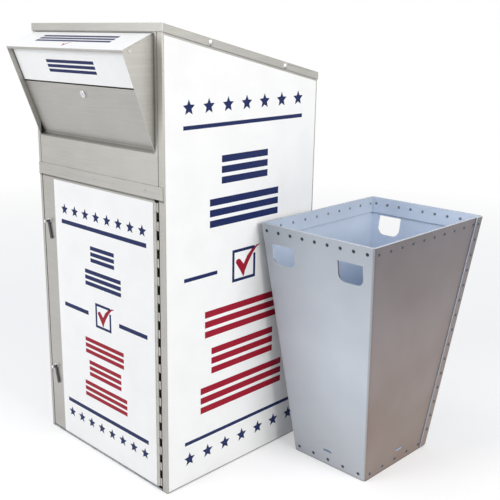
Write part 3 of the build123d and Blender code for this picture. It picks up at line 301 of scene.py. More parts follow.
# Two level bands of painted shadow, under the drip rail and at the hood's foot, each with its foot,
# its top, where it lies and what it leaves of the colour.
for foot, top, lies, left in ((rail_foot - RAIL_SHADOW, rail_foot, on_front, 0.45),
                              (hood_shadow_foot, hood_shadow_foot + HOOD_SHADOW, below_hood, 0.62)):
    rise = add_node(tree, "ShaderNodeMapRange", {
        "Value": place["Z"], "From Min": foot, "From Max": foot + SOFT_FOOT}, interpolation_type="SMOOTHSTEP")
    fall = add_node(tree, "ShaderNodeMapRange", {
        "Value": place["Z"], "From Min": top, "From Max": top - SOFT_TOP}, interpolation_type="SMOOTHSTEP")
    shadow_band = add_node(tree, "ShaderNodeMath", {0: rise, 1: fall}, operation="MULTIPLY")
    shadow_band = add_node(tree, "ShaderNodeMath", {0: shadow_band, 1: lies}, operation="MULTIPLY")
    left_by_painted_shadow = add_node(tree, "ShaderNodeMapRange", {"Value": shadow_band, "To Min": 1.0, "To Max": left})
    with_painted_shade = add_node(tree, "ShaderNodeVectorMath", {0: with_painted_shade, 1: left_by_painted_shadow}, operation="MULTIPLY")
satin = add_node(tree, "ShaderNodeMapRange", {"Value": grain, "To Min": 0.36, "To Max": 0.52})
waves = add_node(tree, "ShaderNodeBump", {
    "Strength": 0.5, "Distance": 3.0 * MM, "Height": clouds, "Normal": rounded})
relief = add_node(tree, "ShaderNodeBump", {
    "Strength": 0.12, "Distance": 0.03 * MM, "Height": grain, "Normal": waves})
feed(tree, shader, {"Metallic": 0.88, "Base Color": with_painted_shade, "Roughness": satin, "Normal": relief})
for node in ("left_side_panel", "right_side_panel", "back_panel", "upper_front_panel"):
    finished(node, brushed_steel, 0.7, 2.6)

# Roof cap: one brushed sheet with its edges turned down over the walls. It is held by carriage
# bolts with low domed heads, two on each side, and nuts inside. Their zinc is bright, a little
# cloudy with tarnish, and finely pitted, with the pits drawn coarser than real.
finished("roof_cap", brushed_steel, 0.7, 3.0)
bright_zinc, tree, shader, where = new_material("bright_zinc_hardware")
tarnish = add_node(tree, "ShaderNodeTexNoise", {"Vector": where, "Scale": 1 / (6 * MM), "Detail": 5.0})
tones = add_node(tree, "ShaderNodeValToRGB", {"Fac": tarnish}, ((0.32, "#A7A7A3"), (0.66, "#D5D4CF")))
polish = add_node(tree, "ShaderNodeMapRange", {"Value": tarnish, "To Min": 0.2, "To Max": 0.42})
pits = add_node(tree, "ShaderNodeTexNoise", {"Vector": where, "Scale": 1 / (0.5 * MM), "Detail": 2.0})
relief = add_node(tree, "ShaderNodeBump", {"Strength": 0.2, "Distance": 0.02 * MM, "Height": pits})
feed(tree, shader, {"Metallic": 1.0, "Base Color": tones, "Roughness": polish, "Normal": relief})
for node in ("roof_bolts", "roof_nuts"):
    finished(node, bright_zinc)

# Drip rail: a folded strip of the same steel, riveted over the door's head with three small
# domed rivets.
finished("drip_rail", brushed_steel, 0.3, 0.4)
finished("drip_rail_rivets", brushed_steel)

# Hood: a top plate with a folded lip on two cheeks, and a fixed panel set back between them. All
# are the cabinet's brushed sheet, welded to the front.
for node in ("hood_top_plate", "hood_left_cheek", "hood_right_cheek", "hood_lower_panel"):
    finished(node, brushed_steel, 0.6, 1.6)

# Flap: a brushed sheet on a bright steel rod, which turns in two nylon bushes in the cheeks. The
# nylon is natural, off-white and faintly cloudy, with a slightly uneven moulded skin.
finished("flap", brushed_steel, 0.5, 1.4)
finished("flap_rod", bright_zinc, 0.3)
nylon, tree, shader, where = new_material("natural_nylon")
clouds = add_node(tree, "ShaderNodeTexNoise", {"Vector": where, "Scale": 1 / (3 * MM), "Detail": 3.0})
tones = add_node(tree, "ShaderNodeValToRGB", {"Fac": clouds}, ((0.0, "#CFCDC2"), (1.0, "#E6E4DA")))
relief = add_node(tree, "ShaderNodeBump", {"Strength": 0.2, "Distance": 0.03 * MM, "Height": clouds})
feed(tree, shader, {"Roughness": 0.45, "IOR": 1.53, "Base Color": tones, "Normal": relief})
finished("flap_bushes", nylon, 0.2)

# Lock and latch bodies: die-cast zinc with a polished nickel plate. Keys and fingers leave a slightly
# hazy gloss and fine curled scratches, which are drawn coarser than real so that they show.
nickel, tree, shader, where = new_material("nickel_plated_zinc")
haze = add_node(tree, "ShaderNodeTexNoise", {"Vector": where, "Scale": 1 / (4 * MM), "Detail": 6.0})
tones = add_node(tree, "ShaderNodeValToRGB", {"Fac": haze}, ((0.0, "#C4C5C9"), (1.0, "#EDEDEF")))
polish = add_node(tree, "ShaderNodeMapRange", {"Value": haze, "To Min": 0.1, "To Max": 0.26})
scratches = add_node(tree, "ShaderNodeTexNoise", {
    "Vector": where, "Scale": 1 / (0.8 * MM), "Distortion": 2.0})
relief = add_node(tree, "ShaderNodeBump", {"Strength": 0.15, "Distance": 0.02 * MM, "Height": scratches})
feed(tree, shader, {"Metallic": 1.0, "Base Color": tones, "Roughness": polish, "Normal": relief})
for node in ("lock_body", "lock_plug", "upper_latch_body", "lower_latch_body"):
    finished(node, nickel, 0.3)
for node in ("lock_nut", "lock_cam", "lock_screw"):
    finished(node, bright_zinc, 0.2)

# Door: a folded pan of the cabinet's steel, which closes on a strip of black closed-cell foam.
# The foam is matt, with a skin of tiny cells, drawn a little larger than real.
finished("door_panel", brushed_steel, 0.6, 1.6)
foam, tree, shader, where = new_material("closed_cell_foam")
cells = add_node(tree, "ShaderNodeTexVoronoi", {"Vector": where, "Scale": 1 / (1.2 * MM)})
tones = add_node(tree, "ShaderNodeValToRGB", {"Fac": cells}, ((0.0, "#161616"), (1.0, "#2C2C2C")))
relief = add_node(tree, "ShaderNodeBump", {"Strength": 0.6, "Distance": 0.3 * MM, "Height": cells})
feed(tree, shader, {"Roughness": 0.85, "Base Color": tones, "Normal": relief})
finished("door_gasket", foam)

# Hinge: two rolled stainless leaves on one long pin. The strip has a fine rolling grain along its
# length, drawn coarser than real, which gives it upright lines of lighter and darker grey.
hinge_steel, tree, shader, where = new_material("rolled_stainless_strip")
upright = add_node(tree, "ShaderNodeMapping", {"Vector": where, "Scale": (1.0, 1.0, 0.04)})
rolling = add_node(tree, "ShaderNodeTexNoise", {"Vector": upright, "Scale": 1 / (1.5 * MM), "Detail": 4.0})
tones = add_node(tree, "ShaderNodeValToRGB", {"Fac": rolling}, ((0.3, "#A4A29C"), (0.7, "#C9C7C1")))
satin = add_node(tree, "ShaderNodeMapRange", {"Value": rolling, "To Min": 0.3, "To Max": 0.5})
relief = add_node(tree, "ShaderNodeBump", {"Strength": 0.2, "Distance": 0.03 * MM, "Height": rolling})
feed(tree, shader, {"Metallic": 1.0, "Base Color": tones, "Roughness": satin, "Normal": relief})
finished("door_hinge_leaf", hinge_steel, 0.2)
finished("frame_hinge_leaf", hinge_steel, 0.2)
finished("hinge_pin", bright_zinc, 0.2)

# Door latches: each has a tapered lever of die-cast zinc, a nickel bezel and cap, and a bright cam,
# nut and screw behind the skin. The lever's dark satin coat shows the casting's fine skin.
dark_coat, tree, shader, where = new_material("dark_coated_die_casting")
casting = add_node(tree, "ShaderNodeTexNoise", {"Vector": where, "Scale": 1 / (1.6 * MM), "Detail": 4.0})
tones = add_node(tree, "ShaderNodeValToRGB", {"Fac": casting}, ((0.0, "#2A2A2C"), (1.0, "#48484A")))
satin = add_node(tree, "ShaderNodeMapRange", {"Value": casting, "To Min": 0.3, "To Max": 0.5})
relief = add_node(tree, "ShaderNodeBump", {"Strength": 0.35, "Distance": 0.08 * MM, "Height": casting})
feed(tree, shader, {"Specular IOR Level": 0.6, "Base Color": tones, "Roughness": satin, "Normal": relief})
for level in ("upper", "lower"):
    finished(f"{level}_latch_handle", dark_coat, 0.3)
    finished(f"{level}_latch_cap", nickel, 0.3)
    for part in ("nut", "cam", "screw"):
        finished(f"{level}_latch_{part}", bright_zinc, 0.2)

# Printed sheets: white cast vinyl laid on the door, both sides, the flap and the hood's top. It
# has a soft gloss and a very faint orange-peel of its own. Painted shade lies close to edges, and
# on the hood's top a painted shadow lies in a line under the roof.
vinyl, tree, shader, where = new_material("white_cast_vinyl")
soiling = add_node(tree, "ShaderNodeTexNoise", {"Vector": where, "Scale": 1 / (90 * MM), "Detail": 6.0})
tones = add_node(tree, "ShaderNodeValToRGB", {"Fac": soiling}, ((0.3, "#F1F1F0"), (0.6, "#F5F5F4")))
# Painted shade darkens the film close to other faces.
with_painted_shade = painted_corner_shade(tree, tones, reach=7, closed=0.2, clear=0.6, darkest=0.25)
place = add_node(tree, "ShaderNodeSeparateXYZ", {0: where}).outputs
film_low, film_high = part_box("hood_film")
# The painted shadow under the roof is full within 4 mm of the film's rear edge and gone at 6 mm.
DARK_LINE, CLEAR_LINE, SLACK = 4 * MM, 6 * MM, 1 * MM
on_hood = add_node(tree, "ShaderNodeMath", {0: place["X"], 1: hood_middle, 2: hood_half}, operation="COMPARE")
high_up = add_node(tree, "ShaderNodeMath", {0: place["Z"], 1: film_low.z - SLACK}, operation="GREATER_THAN")
on_hood = add_node(tree, "ShaderNodeMath", {0: on_hood, 1: high_up}, operation="MULTIPLY")
painted_shadow_under_roof = add_node(tree, "ShaderNodeMapRange", {
    "Value": place["Y"], "From Min": film_high.y - CLEAR_LINE, "From Max": film_high.y - DARK_LINE,
    "To Min": 1.0, "To Max": 0.25})
left_by_painted_shadow = add_node(tree, "ShaderNodeMix", {0: on_hood, 2: 1.0, 3: painted_shadow_under_roof})
with_painted_shade = add_node(tree, "ShaderNodeVectorMath", {0: with_painted_shade, 1: left_by_painted_shadow}, operation="MULTIPLY")
gloss = add_node(tree, "ShaderNodeMapRange", {"Value": soiling, "To Min": 0.28, "To Max": 0.42})
peel = add_node(tree, "ShaderNodeTexNoise", {"Vector": where, "Scale": 1 / (3 * MM), "Detail": 1.0})
relief = add_node(tree, "ShaderNodeBump", {"Strength": 0.15, "Distance": 0.04 * MM, "Height": peel})
feed(tree, shader, {"Specular IOR Level": 0.4, "Base Color": with_painted_shade, "Roughness": gloss, "Normal": relief})
for node in ("door_film", "left_side_film", "right_side_film", "flap_film", "hood_film"):
    finished(node, vinyl)


# Printing: solid navy and red ink, laid a little unevenly on the white sheets. Rows of stars, rules,
# a box with a tick, and triple stripes in place of lines of words, each proud of its sheet by a
# thin layer.
def new_ink(name, dark, light):
    """One ink: a soft gloss, and two close tones where it lies thinner and thicker."""
    ink, tree, shader, where = new_material(name)
    lay = add_node(tree, "ShaderNodeTexNoise", {"Vector": where, "Scale": 1 / (5 * MM), "Detail": 5.0})
    tones = add_node(tree, "ShaderNodeValToRGB", {"Fac": lay}, ((0.0, dark), (1.0, light)))
    gloss = add_node(tree, "ShaderNodeMapRange", {"Value": lay, "To Min": 0.32, "To Max": 0.48})
    feed(tree, shader, {"Specular IOR Level": 0.16, "Base Color": tones, "Roughness": gloss})
    return ink


def new_tree(name, sizes):
    """A geometry tree with named inputs for its sizes; returns the tree and its input node's outputs."""
    made = bpy.data.node_groups.new(name, "GeometryNodeTree")
    made.interface.new_socket("Geometry", in_out="INPUT", socket_type="NodeSocketGeometry")
    for size_name, kind in sizes.items():
        made.interface.new_socket(size_name, in_out="INPUT", socket_type=kind)
    made.interface.new_socket("Geometry", in_out="OUTPUT", socket_type="NodeSocketGeometry")
    return made, add_node(made, "NodeGroupInput").outputs


def grown(tree, values, start=None):
    """The plain mesh that a geometry tree makes from a start mesh with its named inputs set."""
    carrier = add_object(tree.name, start or bpy.data.meshes.new(tree.name))
    modifier = carrier.modifiers.new(tree.name, "NODES")
    modifier.node_group = tree
    for socket in tree.interface.items_tree:
        if socket.name in values:
            modifier[socket.identifier] = values[socket.name]
    bpy.context.view_layer.update()
    made = carrier.evaluated_get(bpy.context.evaluated_depsgraph_get())
    mesh = bpy.data.meshes.new_from_object(made)
    bpy.data.objects.remove(carrier)
    return mesh


navy = new_ink("navy_ink", "#17224F", "#1F2D5E")
red = new_ink("red_ink", "#8E1026", "#A2182F")

tree, given = new_tree("star_row", {
    "Count": "NodeSocketInt", "Spacing": "NodeSocketFloat", "Radius": "NodeSocketFloat",
    "Notch share": "NodeSocketFloat", "Ink": "NodeSocketFloat", "Colour": "NodeSocketMaterial"})
notch = add_node(tree, "ShaderNodeMath", {0: given["Radius"], 1: given["Notch share"]}, operation="MULTIPLY")
star = add_node(tree, "GeometryNodeCurveStar", {
    "Points": 5, "Outer Radius": given["Radius"], "Inner Radius": notch})
flat_star = add_node(tree, "GeometryNodeFillCurve", {"Curve": star})
flat_star = add_node(tree, "GeometryNodeTransform", {"Geometry": flat_star, "Rotation": (0, 0, radians(90))})
raised = add_node(tree, "GeometryNodeExtrudeMesh", {
    "Mesh": flat_star, "Offset Scale": given["Ink"], "Individual": False})
underside = add_node(tree, "GeometryNodeFlipFaces", {"Mesh": flat_star})
closed_star = add_node(tree, "GeometryNodeJoinGeometry")
for shell in (raised, underside):
    feed(tree, closed_star, {0: shell})
closed_star = add_node(tree, "GeometryNodeMergeByDistance", {"Geometry": closed_star, "Distance": MEETING})
step = add_node(tree, "ShaderNodeCombineXYZ", {"X": given["Spacing"]})
row = add_node(tree, "GeometryNodeMeshLine", {"Count": given["Count"], "Offset": step})
stars = add_node(tree, "GeometryNodeInstanceOnPoints", {"Points": row, "Instance": closed_star})
stars = add_node(tree, "GeometryNodeRealizeInstances", {"Geometry": stars})
stars = add_node(tree, "GeometryNodeSetMaterial", {"Geometry": stars, "Material": given["Colour"]})
add_node(tree, "NodeGroupOutput", {"Geometry": stars})
star_tree = tree

tree, given = new_tree("stripe_stack", {
    "Count": "NodeSocketInt", "Width": "NodeSocketFloat", "Height": "NodeSocketFloat",
    "Filled share": "NodeSocketFloat", "Ink": "NodeSocketFloat", "Colour": "NodeSocketMaterial"})
gaps = add_node(tree, "ShaderNodeMath", {0: given["Count"], 1: 1.0}, operation="SUBTRACT")
filled = add_node(tree, "ShaderNodeMath", {
    0: given["Height"], 1: given["Filled share"]}, operation="MULTIPLY")
thick = add_node(tree, "ShaderNodeMath", {0: filled, 1: given["Count"]}, operation="DIVIDE")
spread = add_node(tree, "ShaderNodeMath", {0: given["Height"], 1: thick}, operation="SUBTRACT")
pitch = add_node(tree, "ShaderNodeMath", {0: spread, 1: gaps}, operation="DIVIDE")
size = add_node(tree, "ShaderNodeCombineXYZ", {"X": given["Width"], "Y": thick, "Z": given["Ink"]})
stripe = add_node(tree, "GeometryNodeMeshCube", {"Size": size})
lift = add_node(tree, "ShaderNodeMath", {0: given["Ink"], 1: 0.5}, operation="MULTIPLY")
half = add_node(tree, "ShaderNodeMath", {0: thick, 1: 0.5}, operation="MULTIPLY")
first = add_node(tree, "ShaderNodeCombineXYZ", {"Y": half, "Z": lift})
step = add_node(tree, "ShaderNodeCombineXYZ", {"Y": pitch})
stack = add_node(tree, "GeometryNodeMeshLine", {
    "Count": given["Count"], "Start Location": first, "Offset": step})
stripes = add_node(tree, "GeometryNodeInstanceOnPoints", {"Points": stack, "Instance": stripe})
stripes = add_node(tree, "GeometryNodeRealizeInstances", {"Geometry": stripes})
stripes = add_node(tree, "GeometryNodeSetMaterial", {"Geometry": stripes, "Material": given["Colour"]})
add_node(tree, "NodeGroupOutput", {"Geometry": stripes})
stripe_tree = tree

# Sizes and places on a sheet are in millimetres, counted across from its middle. The layer is
# thicker than real ink, so that it stands clear of the sheet.
INK = 0.12
STRIPES, STRIPE_SHARE, NOTCH_SHARE = 3, 0.74, 0.46
FACING_SHARE = 0.5


def sheet_face(node, outward):
    """The outer face of a printed sheet: its own frame, from the middle of the face's foot."""
    mesh = frame["nodes"][node].data
    largest = max((p for p in mesh.polygons if p.normal.dot(outward) > FACING_SHARE), key=lambda p: p.area)
    normal = largest.normal.copy()
    right = Vector((0, 0, 1)).cross(normal).normalized()
    up = normal.cross(right)
    level = normal.dot(largest.center)
    corners = [v.co for v in mesh.vertices if abs(v.co.dot(normal) - level) < MEETING]
    across = [corner.dot(right) for corner in corners]
    foot = min(corner.dot(up) for corner in corners)
    origin = right * (min(across) + max(across)) / 2 + up * foot + normal * level
    return Matrix.Translation(origin) @ Matrix((right, up, normal)).transposed().to_4x4()


def raised_outline(outlines):
    """Thin closed plates of ink from flat outlines, and a place of 0, 0, as the outlines hold their own."""
    plates = bmesh.new()
    for points in outlines:
        low = [plates.verts.new((u * MM, v * MM, 0)) for u, v in points]
        high = [plates.verts.new((u * MM, v * MM, INK * MM)) for u, v in points]
        plates.faces.new(high)
        plates.faces.new(low[::-1])
        for index, corner in enumerate(low):
            after = (index + 1) % len(low)
            plates.faces.new((corner, low[after], high[after], high[index]))
    bmesh.ops.recalc_face_normals(plates, faces=plates.faces)
    mesh = bpy.data.meshes.new("ink_plates")
    plates.to_mesh(mesh)
    plates.free()
    return mesh, 0, 0


def printed(node, outward, ink, marks, foot=0):
    """Lay one ink's marks on a sheet, each a mesh with its place; the sheet's foot is at a level."""
    face = sheet_face(node, outward)
    layer = bmesh.new()
    for mesh, u, v in marks:
        mesh.transform(face @ Matrix.Translation((u * MM, (v - foot) * MM, 0)))
        layer.from_mesh(mesh)
        bpy.data.meshes.remove(mesh)
    mesh = bpy.data.meshes.new(f"{node}_{ink.name}")
    layer.to_mesh(mesh)
    layer.free()
    mesh.materials.clear()
    mesh.materials.append(ink)
    print_layer = add_object(f"{node}_{ink.name}", mesh)
    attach(print_layer, BODY_OF[node])


def star_row(count, middle, half_width, level, radius):
    """A row of navy stars, their tips up, between two ends at a level on the sheet."""
    spacing = 2 * half_width / (count - 1)
    mesh = grown(star_tree, {"Count": count, "Spacing": spacing * MM, "Radius": radius * MM,
                             "Notch share": NOTCH_SHARE, "Ink": INK * MM, "Colour": navy})
    return mesh, middle - half_width, level


def stripes_between(left, right, low, high, ink):
    """A stack of level stripes between two sides and two levels on the sheet."""
    mesh = grown(stripe_tree, {"Count": STRIPES, "Width": (right - left) * MM, "Height": (high - low) * MM,
                               "Filled share": STRIPE_SHARE, "Ink": INK * MM, "Colour": ink})
    return mesh, (left + right) / 2, low


def rule(left, right, level, thickness):
    """One plain rule."""
    low, high = level - thickness / 2, level + thickness / 2
    return raised_outline([[(left, low), (right, low), (right, high), (left, high)]])


def tick_box(left, low, side, line):
    """The square's outline as four bars, its upper right corner left open for the tick."""
    right, high = left + side, low + side
    top_end, right_end = left + 0.96 * side, low + 0.76 * side
    return raised_outline([
        [(left, low), (right, low), (right, low + line), (left, low + line)],
        [(left, low + line), (left + line, low + line), (left + line, high - line), (left, high - line)],
        [(left, high - line), (top_end, high - line), (top_end, high), (left, high)],
        [(right - line, low + line), (right, low + line), (right, right_end), (right - line, right_end)],
    ])


def tick(left, low, side):
    """A brushed tick, thick at its heel and drawn out to a point past the box's corner."""
    shape = [(0.15, 0.59), (0.17, 0.66), (0.245, 0.70), (0.33, 0.68), (0.49, 0.50), (0.64, 0.735),
             (0.85, 0.905), (1.04, 0.995), (1.226, 1.015), (1.04, 0.926), (0.887, 0.778), (0.68, 0.50),
             (0.547, 0.264), (0.50, 0.11), (0.46, 0.13), (0.358, 0.303)]
    return raised_outline([[(left + u * side, low + v * side) for u, v in shape]])


# The door's sheet: eight stars in a row, and levels counted from the floor. A box is given by its
# left side, its foot and its width, a star by its radius, and a line by its thickness.
FRONTWARD = Vector((0, -1, 0))
door_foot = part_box("door_film")[0].z / MM
DOOR_STAR, DOOR_RULE, DOOR_BOX, DOOR_BOX_LINE = 18, 13, (-42, 425, 77), 8
printed("door_film", FRONTWARD, navy, [
    star_row(8, 2, 185, 766, DOOR_STAR),
    rule(-201, 204, 727, DOOR_RULE),
    stripes_between(-58, 57, 626, 675, navy),
    stripes_between(-88, 86, 550, 600, navy),
    rule(-203, -78, 460, DOOR_RULE),
    rule(73, 202, 460, DOOR_RULE),
    tick_box(*DOOR_BOX, DOOR_BOX_LINE),
    rule(-206, 199, 132, DOOR_RULE),
    star_row(8, -3, 185, 91, DOOR_STAR),
], door_foot)
printed("door_film", FRONTWARD, red, [
    tick(*DOOR_BOX),
    stripes_between(-99, 91, 327, 379, red),
    stripes_between(-83, 76, 253, 305, red),
    stripes_between(-108, 102, 180, 232, red),
], door_foot)

# The side sheets: seven larger stars in a row, and levels counted from the floor as well.
SIDE_STAR, SIDE_RULE, SIDE_BOX, SIDE_BOX_LINE = 22, 11, (-50, 584, 97), 9
for side_node, outward in (("right_side_film", Vector((1, 0, 0))), ("left_side_film", Vector((-1, 0, 0)))):
    side_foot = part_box(side_node)[0].z / MM
    printed(side_node, outward, navy, [
        star_row(7, 1, 218, 1097, SIDE_STAR),
        rule(-237, 239, 1045, SIDE_RULE),
        stripes_between(-95, 92, 881, 960, navy),
        stripes_between(-140, 141, 762, 843, navy),
        rule(-237, -110, 629, SIDE_RULE),
        rule(112, 239, 629, SIDE_RULE),
        tick_box(*SIDE_BOX, SIDE_BOX_LINE),
        rule(-237, 239, 132, SIDE_RULE),
        star_row(7, -1, 218, 80, SIDE_STAR),
    ], side_foot)
    printed(side_node, outward, red, [
        tick(*SIDE_BOX),
        stripes_between(-158, 157, 440, 520, red),
        stripes_between(-132, 130, 324, 404, red),
        stripes_between(-175, 173, 208, 289, red),
    ], side_foot)

# On the flap's and the hood's sheets the levels are counted from the sheets' own feet.
HOODWARD = Vector((0, -0.38, 0.92))
printed("flap_film", FRONTWARD, navy, [stripes_between(-112, 110, 30, 67, navy)])
printed("hood_film", HOODWARD, navy, [stripes_between(-178, 170, 42, 82, navy)])
printed("hood_film", HOODWARD, red, [tick(-22, 12, 26)])

# Bin: walls folded from one sheet of fluted polypropylene, with a folded-in hem, a base tray and a
# lapped seam flap. The upright flutes show as faint lines and the cut rim shows their open ends.
# The inside is lighter and bluer. The outside is dusty at its foot, its right side carries painted
# shade mixed with dust, and the walls grow darker towards the top.
bin_low, bin_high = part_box("bin_front_wall")[0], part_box("bin_back_wall")[1]
bin_middle = (bin_low + bin_high) / 2
FLUTE = 8 * MM
RIM_DEPTH = 5 * MM
# Levels above the floor in metres: the dust's top, between which the dust and the painted shade on
# the right turn from grey to brown, and between which the walls grow darker towards the top.
DUST_TOP = 0.35
BROWN_FOOT, BROWN_TOP = 0.1, 0.76
DARKER_FOOT, DARKER_TOP = 0.4, 0.77
# A flute's shade runs between two shares of the colour. A cut flute is dark at one share and pale at
# another. The rim keeps a smaller share, and the far wall's inside is lightened by painted light.
SHADE_LOW, SHADE_HIGH = 0.985, 1.005
DARK_CUT, PALE_CUT = 0.988, 0.995
RIM_SHADE, FAR_WALL_PAINTED_LIGHT = 0.72, 1.12
# A face begins to count as turned to a side, counts in full, and counts as turned up.
TURN_BEGUN, TURN_DONE, TURNED_UP = 0.2, 0.9, 0.8
fluted, tree, shader, where = new_material("fluted_polypropylene")
facing = add_node(tree, "ShaderNodeNewGeometry").outputs["True Normal"]
place = add_node(tree, "ShaderNodeSeparateXYZ", {0: where}).outputs
turned = add_node(tree, "ShaderNodeVectorMath", {0: facing}, operation="ABSOLUTE")
turned = add_node(tree, "ShaderNodeSeparateXYZ", {0: turned}).outputs
sideways = add_node(tree, "ShaderNodeMath", {0: turned["X"], 1: turned["Y"]}, operation="GREATER_THAN")
along_wall = add_node(tree, "ShaderNodeMix", {0: sideways, 2: place["X"], 3: place["Y"]})
phase = add_node(tree, "ShaderNodeMath", {0: along_wall, 1: 2 * pi / FLUTE}, operation="MULTIPLY")
flutes = add_node(tree, "ShaderNodeMath", {0: phase}, operation="SINE")
from_middle = add_node(tree, "ShaderNodeVectorMath", {0: where, 1: tuple(bin_middle)}, operation="SUBTRACT")
outwardness = add_node(tree, "ShaderNodeVectorMath", {0: from_middle, 1: facing}, operation="DOT_PRODUCT")
outside = add_node(tree, "ShaderNodeMath", {0: outwardness, 1: 0.0}, operation="GREATER_THAN")
clouds = add_node(tree, "ShaderNodeTexNoise", {"Vector": where, "Scale": 1 / (120 * MM), "Detail": 5.0})
outer_tone = add_node(tree, "ShaderNodeValToRGB", {"Fac": clouds}, ((0.3, "#C4CCD5"), (0.7, "#CAD2DA")))
inner_tone = add_node(tree, "ShaderNodeValToRGB", {"Fac": clouds}, ((0.3, "#CBD8EA"), (0.7, "#D6E3F5")))
dust_height = add_node(tree, "ShaderNodeMapRange", {
    "Value": place["Z"], "From Min": DUST_TOP, "From Max": 0.0, "To Max": 0.3})
turned = add_node(tree, "ShaderNodeSeparateXYZ", {0: facing}).outputs
on_right = add_node(tree, "ShaderNodeMapRange", {
    "Value": turned["X"], "From Min": TURN_BEGUN, "From Max": TURN_DONE})
patches = add_node(tree, "ShaderNodeTexNoise", {"Vector": where, "Scale": 1 / (260 * MM), "Detail": 2.0})
dust_and_shade_cover = add_node(tree, "ShaderNodeMapRange", {
    "Value": patches, "From Min": 0.3, "From Max": 0.7, "To Min": 0.9, "To Max": 1.0})
# The right side's tone is painted shade mixed with dust.
dust_and_painted_shade = add_node(tree, "ShaderNodeMath", {0: dust_height, 1: on_right}, operation="MAXIMUM")
dust_and_painted_shade = add_node(tree, "ShaderNodeMath", {0: dust_and_painted_shade, 1: dust_and_shade_cover}, operation="MULTIPLY", use_clamp=True)
browner_low = add_node(tree, "ShaderNodeMapRange", {
    "Value": place["Z"], "From Min": BROWN_TOP, "From Max": BROWN_FOOT})
dust_and_shade_tone = add_node(tree, "ShaderNodeMix", {
    0: browner_low, 6: linear("#6A6164"), 7: linear("#806D62")}, data_type="RGBA")
dusty_and_shaded = add_node(tree, "ShaderNodeMix", {0: dust_and_painted_shade, 6: outer_tone, 7: dust_and_shade_tone}, data_type="RGBA")
sided = add_node(tree, "ShaderNodeMix", {0: outside, 6: inner_tone, 7: dusty_and_shaded}, data_type="RGBA")
flute_shade = add_node(tree, "ShaderNodeMapRange", {
    "Value": flutes, "From Min": -1.0, "From Max": 1.0, "To Min": SHADE_LOW, "To Max": SHADE_HIGH})
lined = add_node(tree, "ShaderNodeVectorMath", {0: sided, 1: flute_shade}, operation="MULTIPLY")
# The walls grow darker towards the top.
darker_near_rim = add_node(tree, "ShaderNodeMapRange", {
    "Value": place["Z"], "From Min": DARKER_FOOT, "From Max": DARKER_TOP, "To Min": 1.0, "To Max": RIM_SHADE})
# The far wall's inside is lightened by painted light.
far_inside = add_node(tree, "ShaderNodeMapRange", {
    "Value": turned["Y"], "From Min": -TURN_BEGUN, "From Max": -TURN_DONE})
far_inside = add_node(tree, "ShaderNodeMath", {
    0: far_inside, 1: outside}, operation="SUBTRACT", use_clamp=True)
rim_darkening_and_far_light = add_node(tree, "ShaderNodeMix", {0: far_inside, 2: darker_near_rim, 3: FAR_WALL_PAINTED_LIGHT})
lined = add_node(tree, "ShaderNodeVectorMath", {0: lined, 1: rim_darkening_and_far_light}, operation="MULTIPLY")
rim = add_node(tree, "ShaderNodeMath", {0: turned["Z"], 1: TURNED_UP}, operation="GREATER_THAN")
rim_foot = bin_high.z - RIM_DEPTH
high_up = add_node(tree, "ShaderNodeMath", {0: place["Z"], 1: rim_foot}, operation="GREATER_THAN")
rim = add_node(tree, "ShaderNodeMath", {0: rim, 1: high_up}, operation="MULTIPLY")
open_ends = add_node(tree, "ShaderNodeValToRGB", {"Fac": flute_shade}, (
    (DARK_CUT, "#8E99A8"), (PALE_CUT, "#DCE3EC")))
rimmed = add_node(tree, "ShaderNodeMix", {0: rim, 6: lined, 7: open_ends}, data_type="RGBA")
# The edges carry a painted highlight and the corners painted shade.
highlit, rounded = painted_edge_highlight(tree, rimmed, radius=1.5, first=0.99, most=0.6, highlight="#D3DAE2")
with_painted_shade = painted_corner_shade(tree, highlit, reach=9, closed=0.3, clear=0.85, darkest=0.35)
satin = add_node(tree, "ShaderNodeMapRange", {"Value": patches, "To Min": 0.28, "To Max": 0.55})
relief = add_node(tree, "ShaderNodeBump", {
    "Strength": 0.3, "Distance": 0.12 * MM, "Height": flutes, "Normal": rounded})
feed(tree, shader, {"IOR": 1.49, "Base Color": with_painted_shade, "Roughness": satin, "Normal": relief})
finished("bin_walls", fluted, 0.6, nodes=[f"bin_{side}_wall" for side in ("front", "back", "left", "right")])
for node, edge in (("bin_hem", 0.5), ("bin_base", 0.5), ("bin_seam_flap", 0.8)):
    finished(node, fluted, edge)

# Bin rivets: two-part push rivets, a domed head with a dimple outside and a flatter cap with a
# small nib inside. They stand where the CAD rivets stand. The moulded plastic is a cloudy satin
# grey, with a painted shade that is nearly black in the dimples, and painted shade in its corners.
rivet_plastic, tree, shader, where = new_material("moulded_rivet_plastic")
clouds = add_node(tree, "ShaderNodeTexNoise", {"Vector": where, "Scale": 1 / (14 * MM), "Detail": 4.0})
tones = add_node(tree, "ShaderNodeValToRGB", {"Fac": clouds}, ((0.35, "#6E737C"), (0.65, "#8E949D")))
# The dimples take a near-black painted shade.
painted_dimple_shade = add_node(tree, "ShaderNodeAttribute", attribute_name="painted_dimple_shade").outputs["Fac"]
dimple_shaded = add_node(tree, "ShaderNodeMix", {0: painted_dimple_shade, 6: tones, 7: linear("#2B2D34")}, data_type="RGBA")
with_painted_shade = painted_corner_shade(tree, dimple_shaded, reach=4, closed=0.3, clear=0.9, darkest=0.2)
satin = add_node(tree, "ShaderNodeMapRange", {"Value": clouds, "To Min": 0.25, "To Max": 0.45})
feed(tree, shader, {"IOR": 1.49, "Specular IOR Level": 0.3, "Base Color": with_painted_shade, "Roughness": satin})


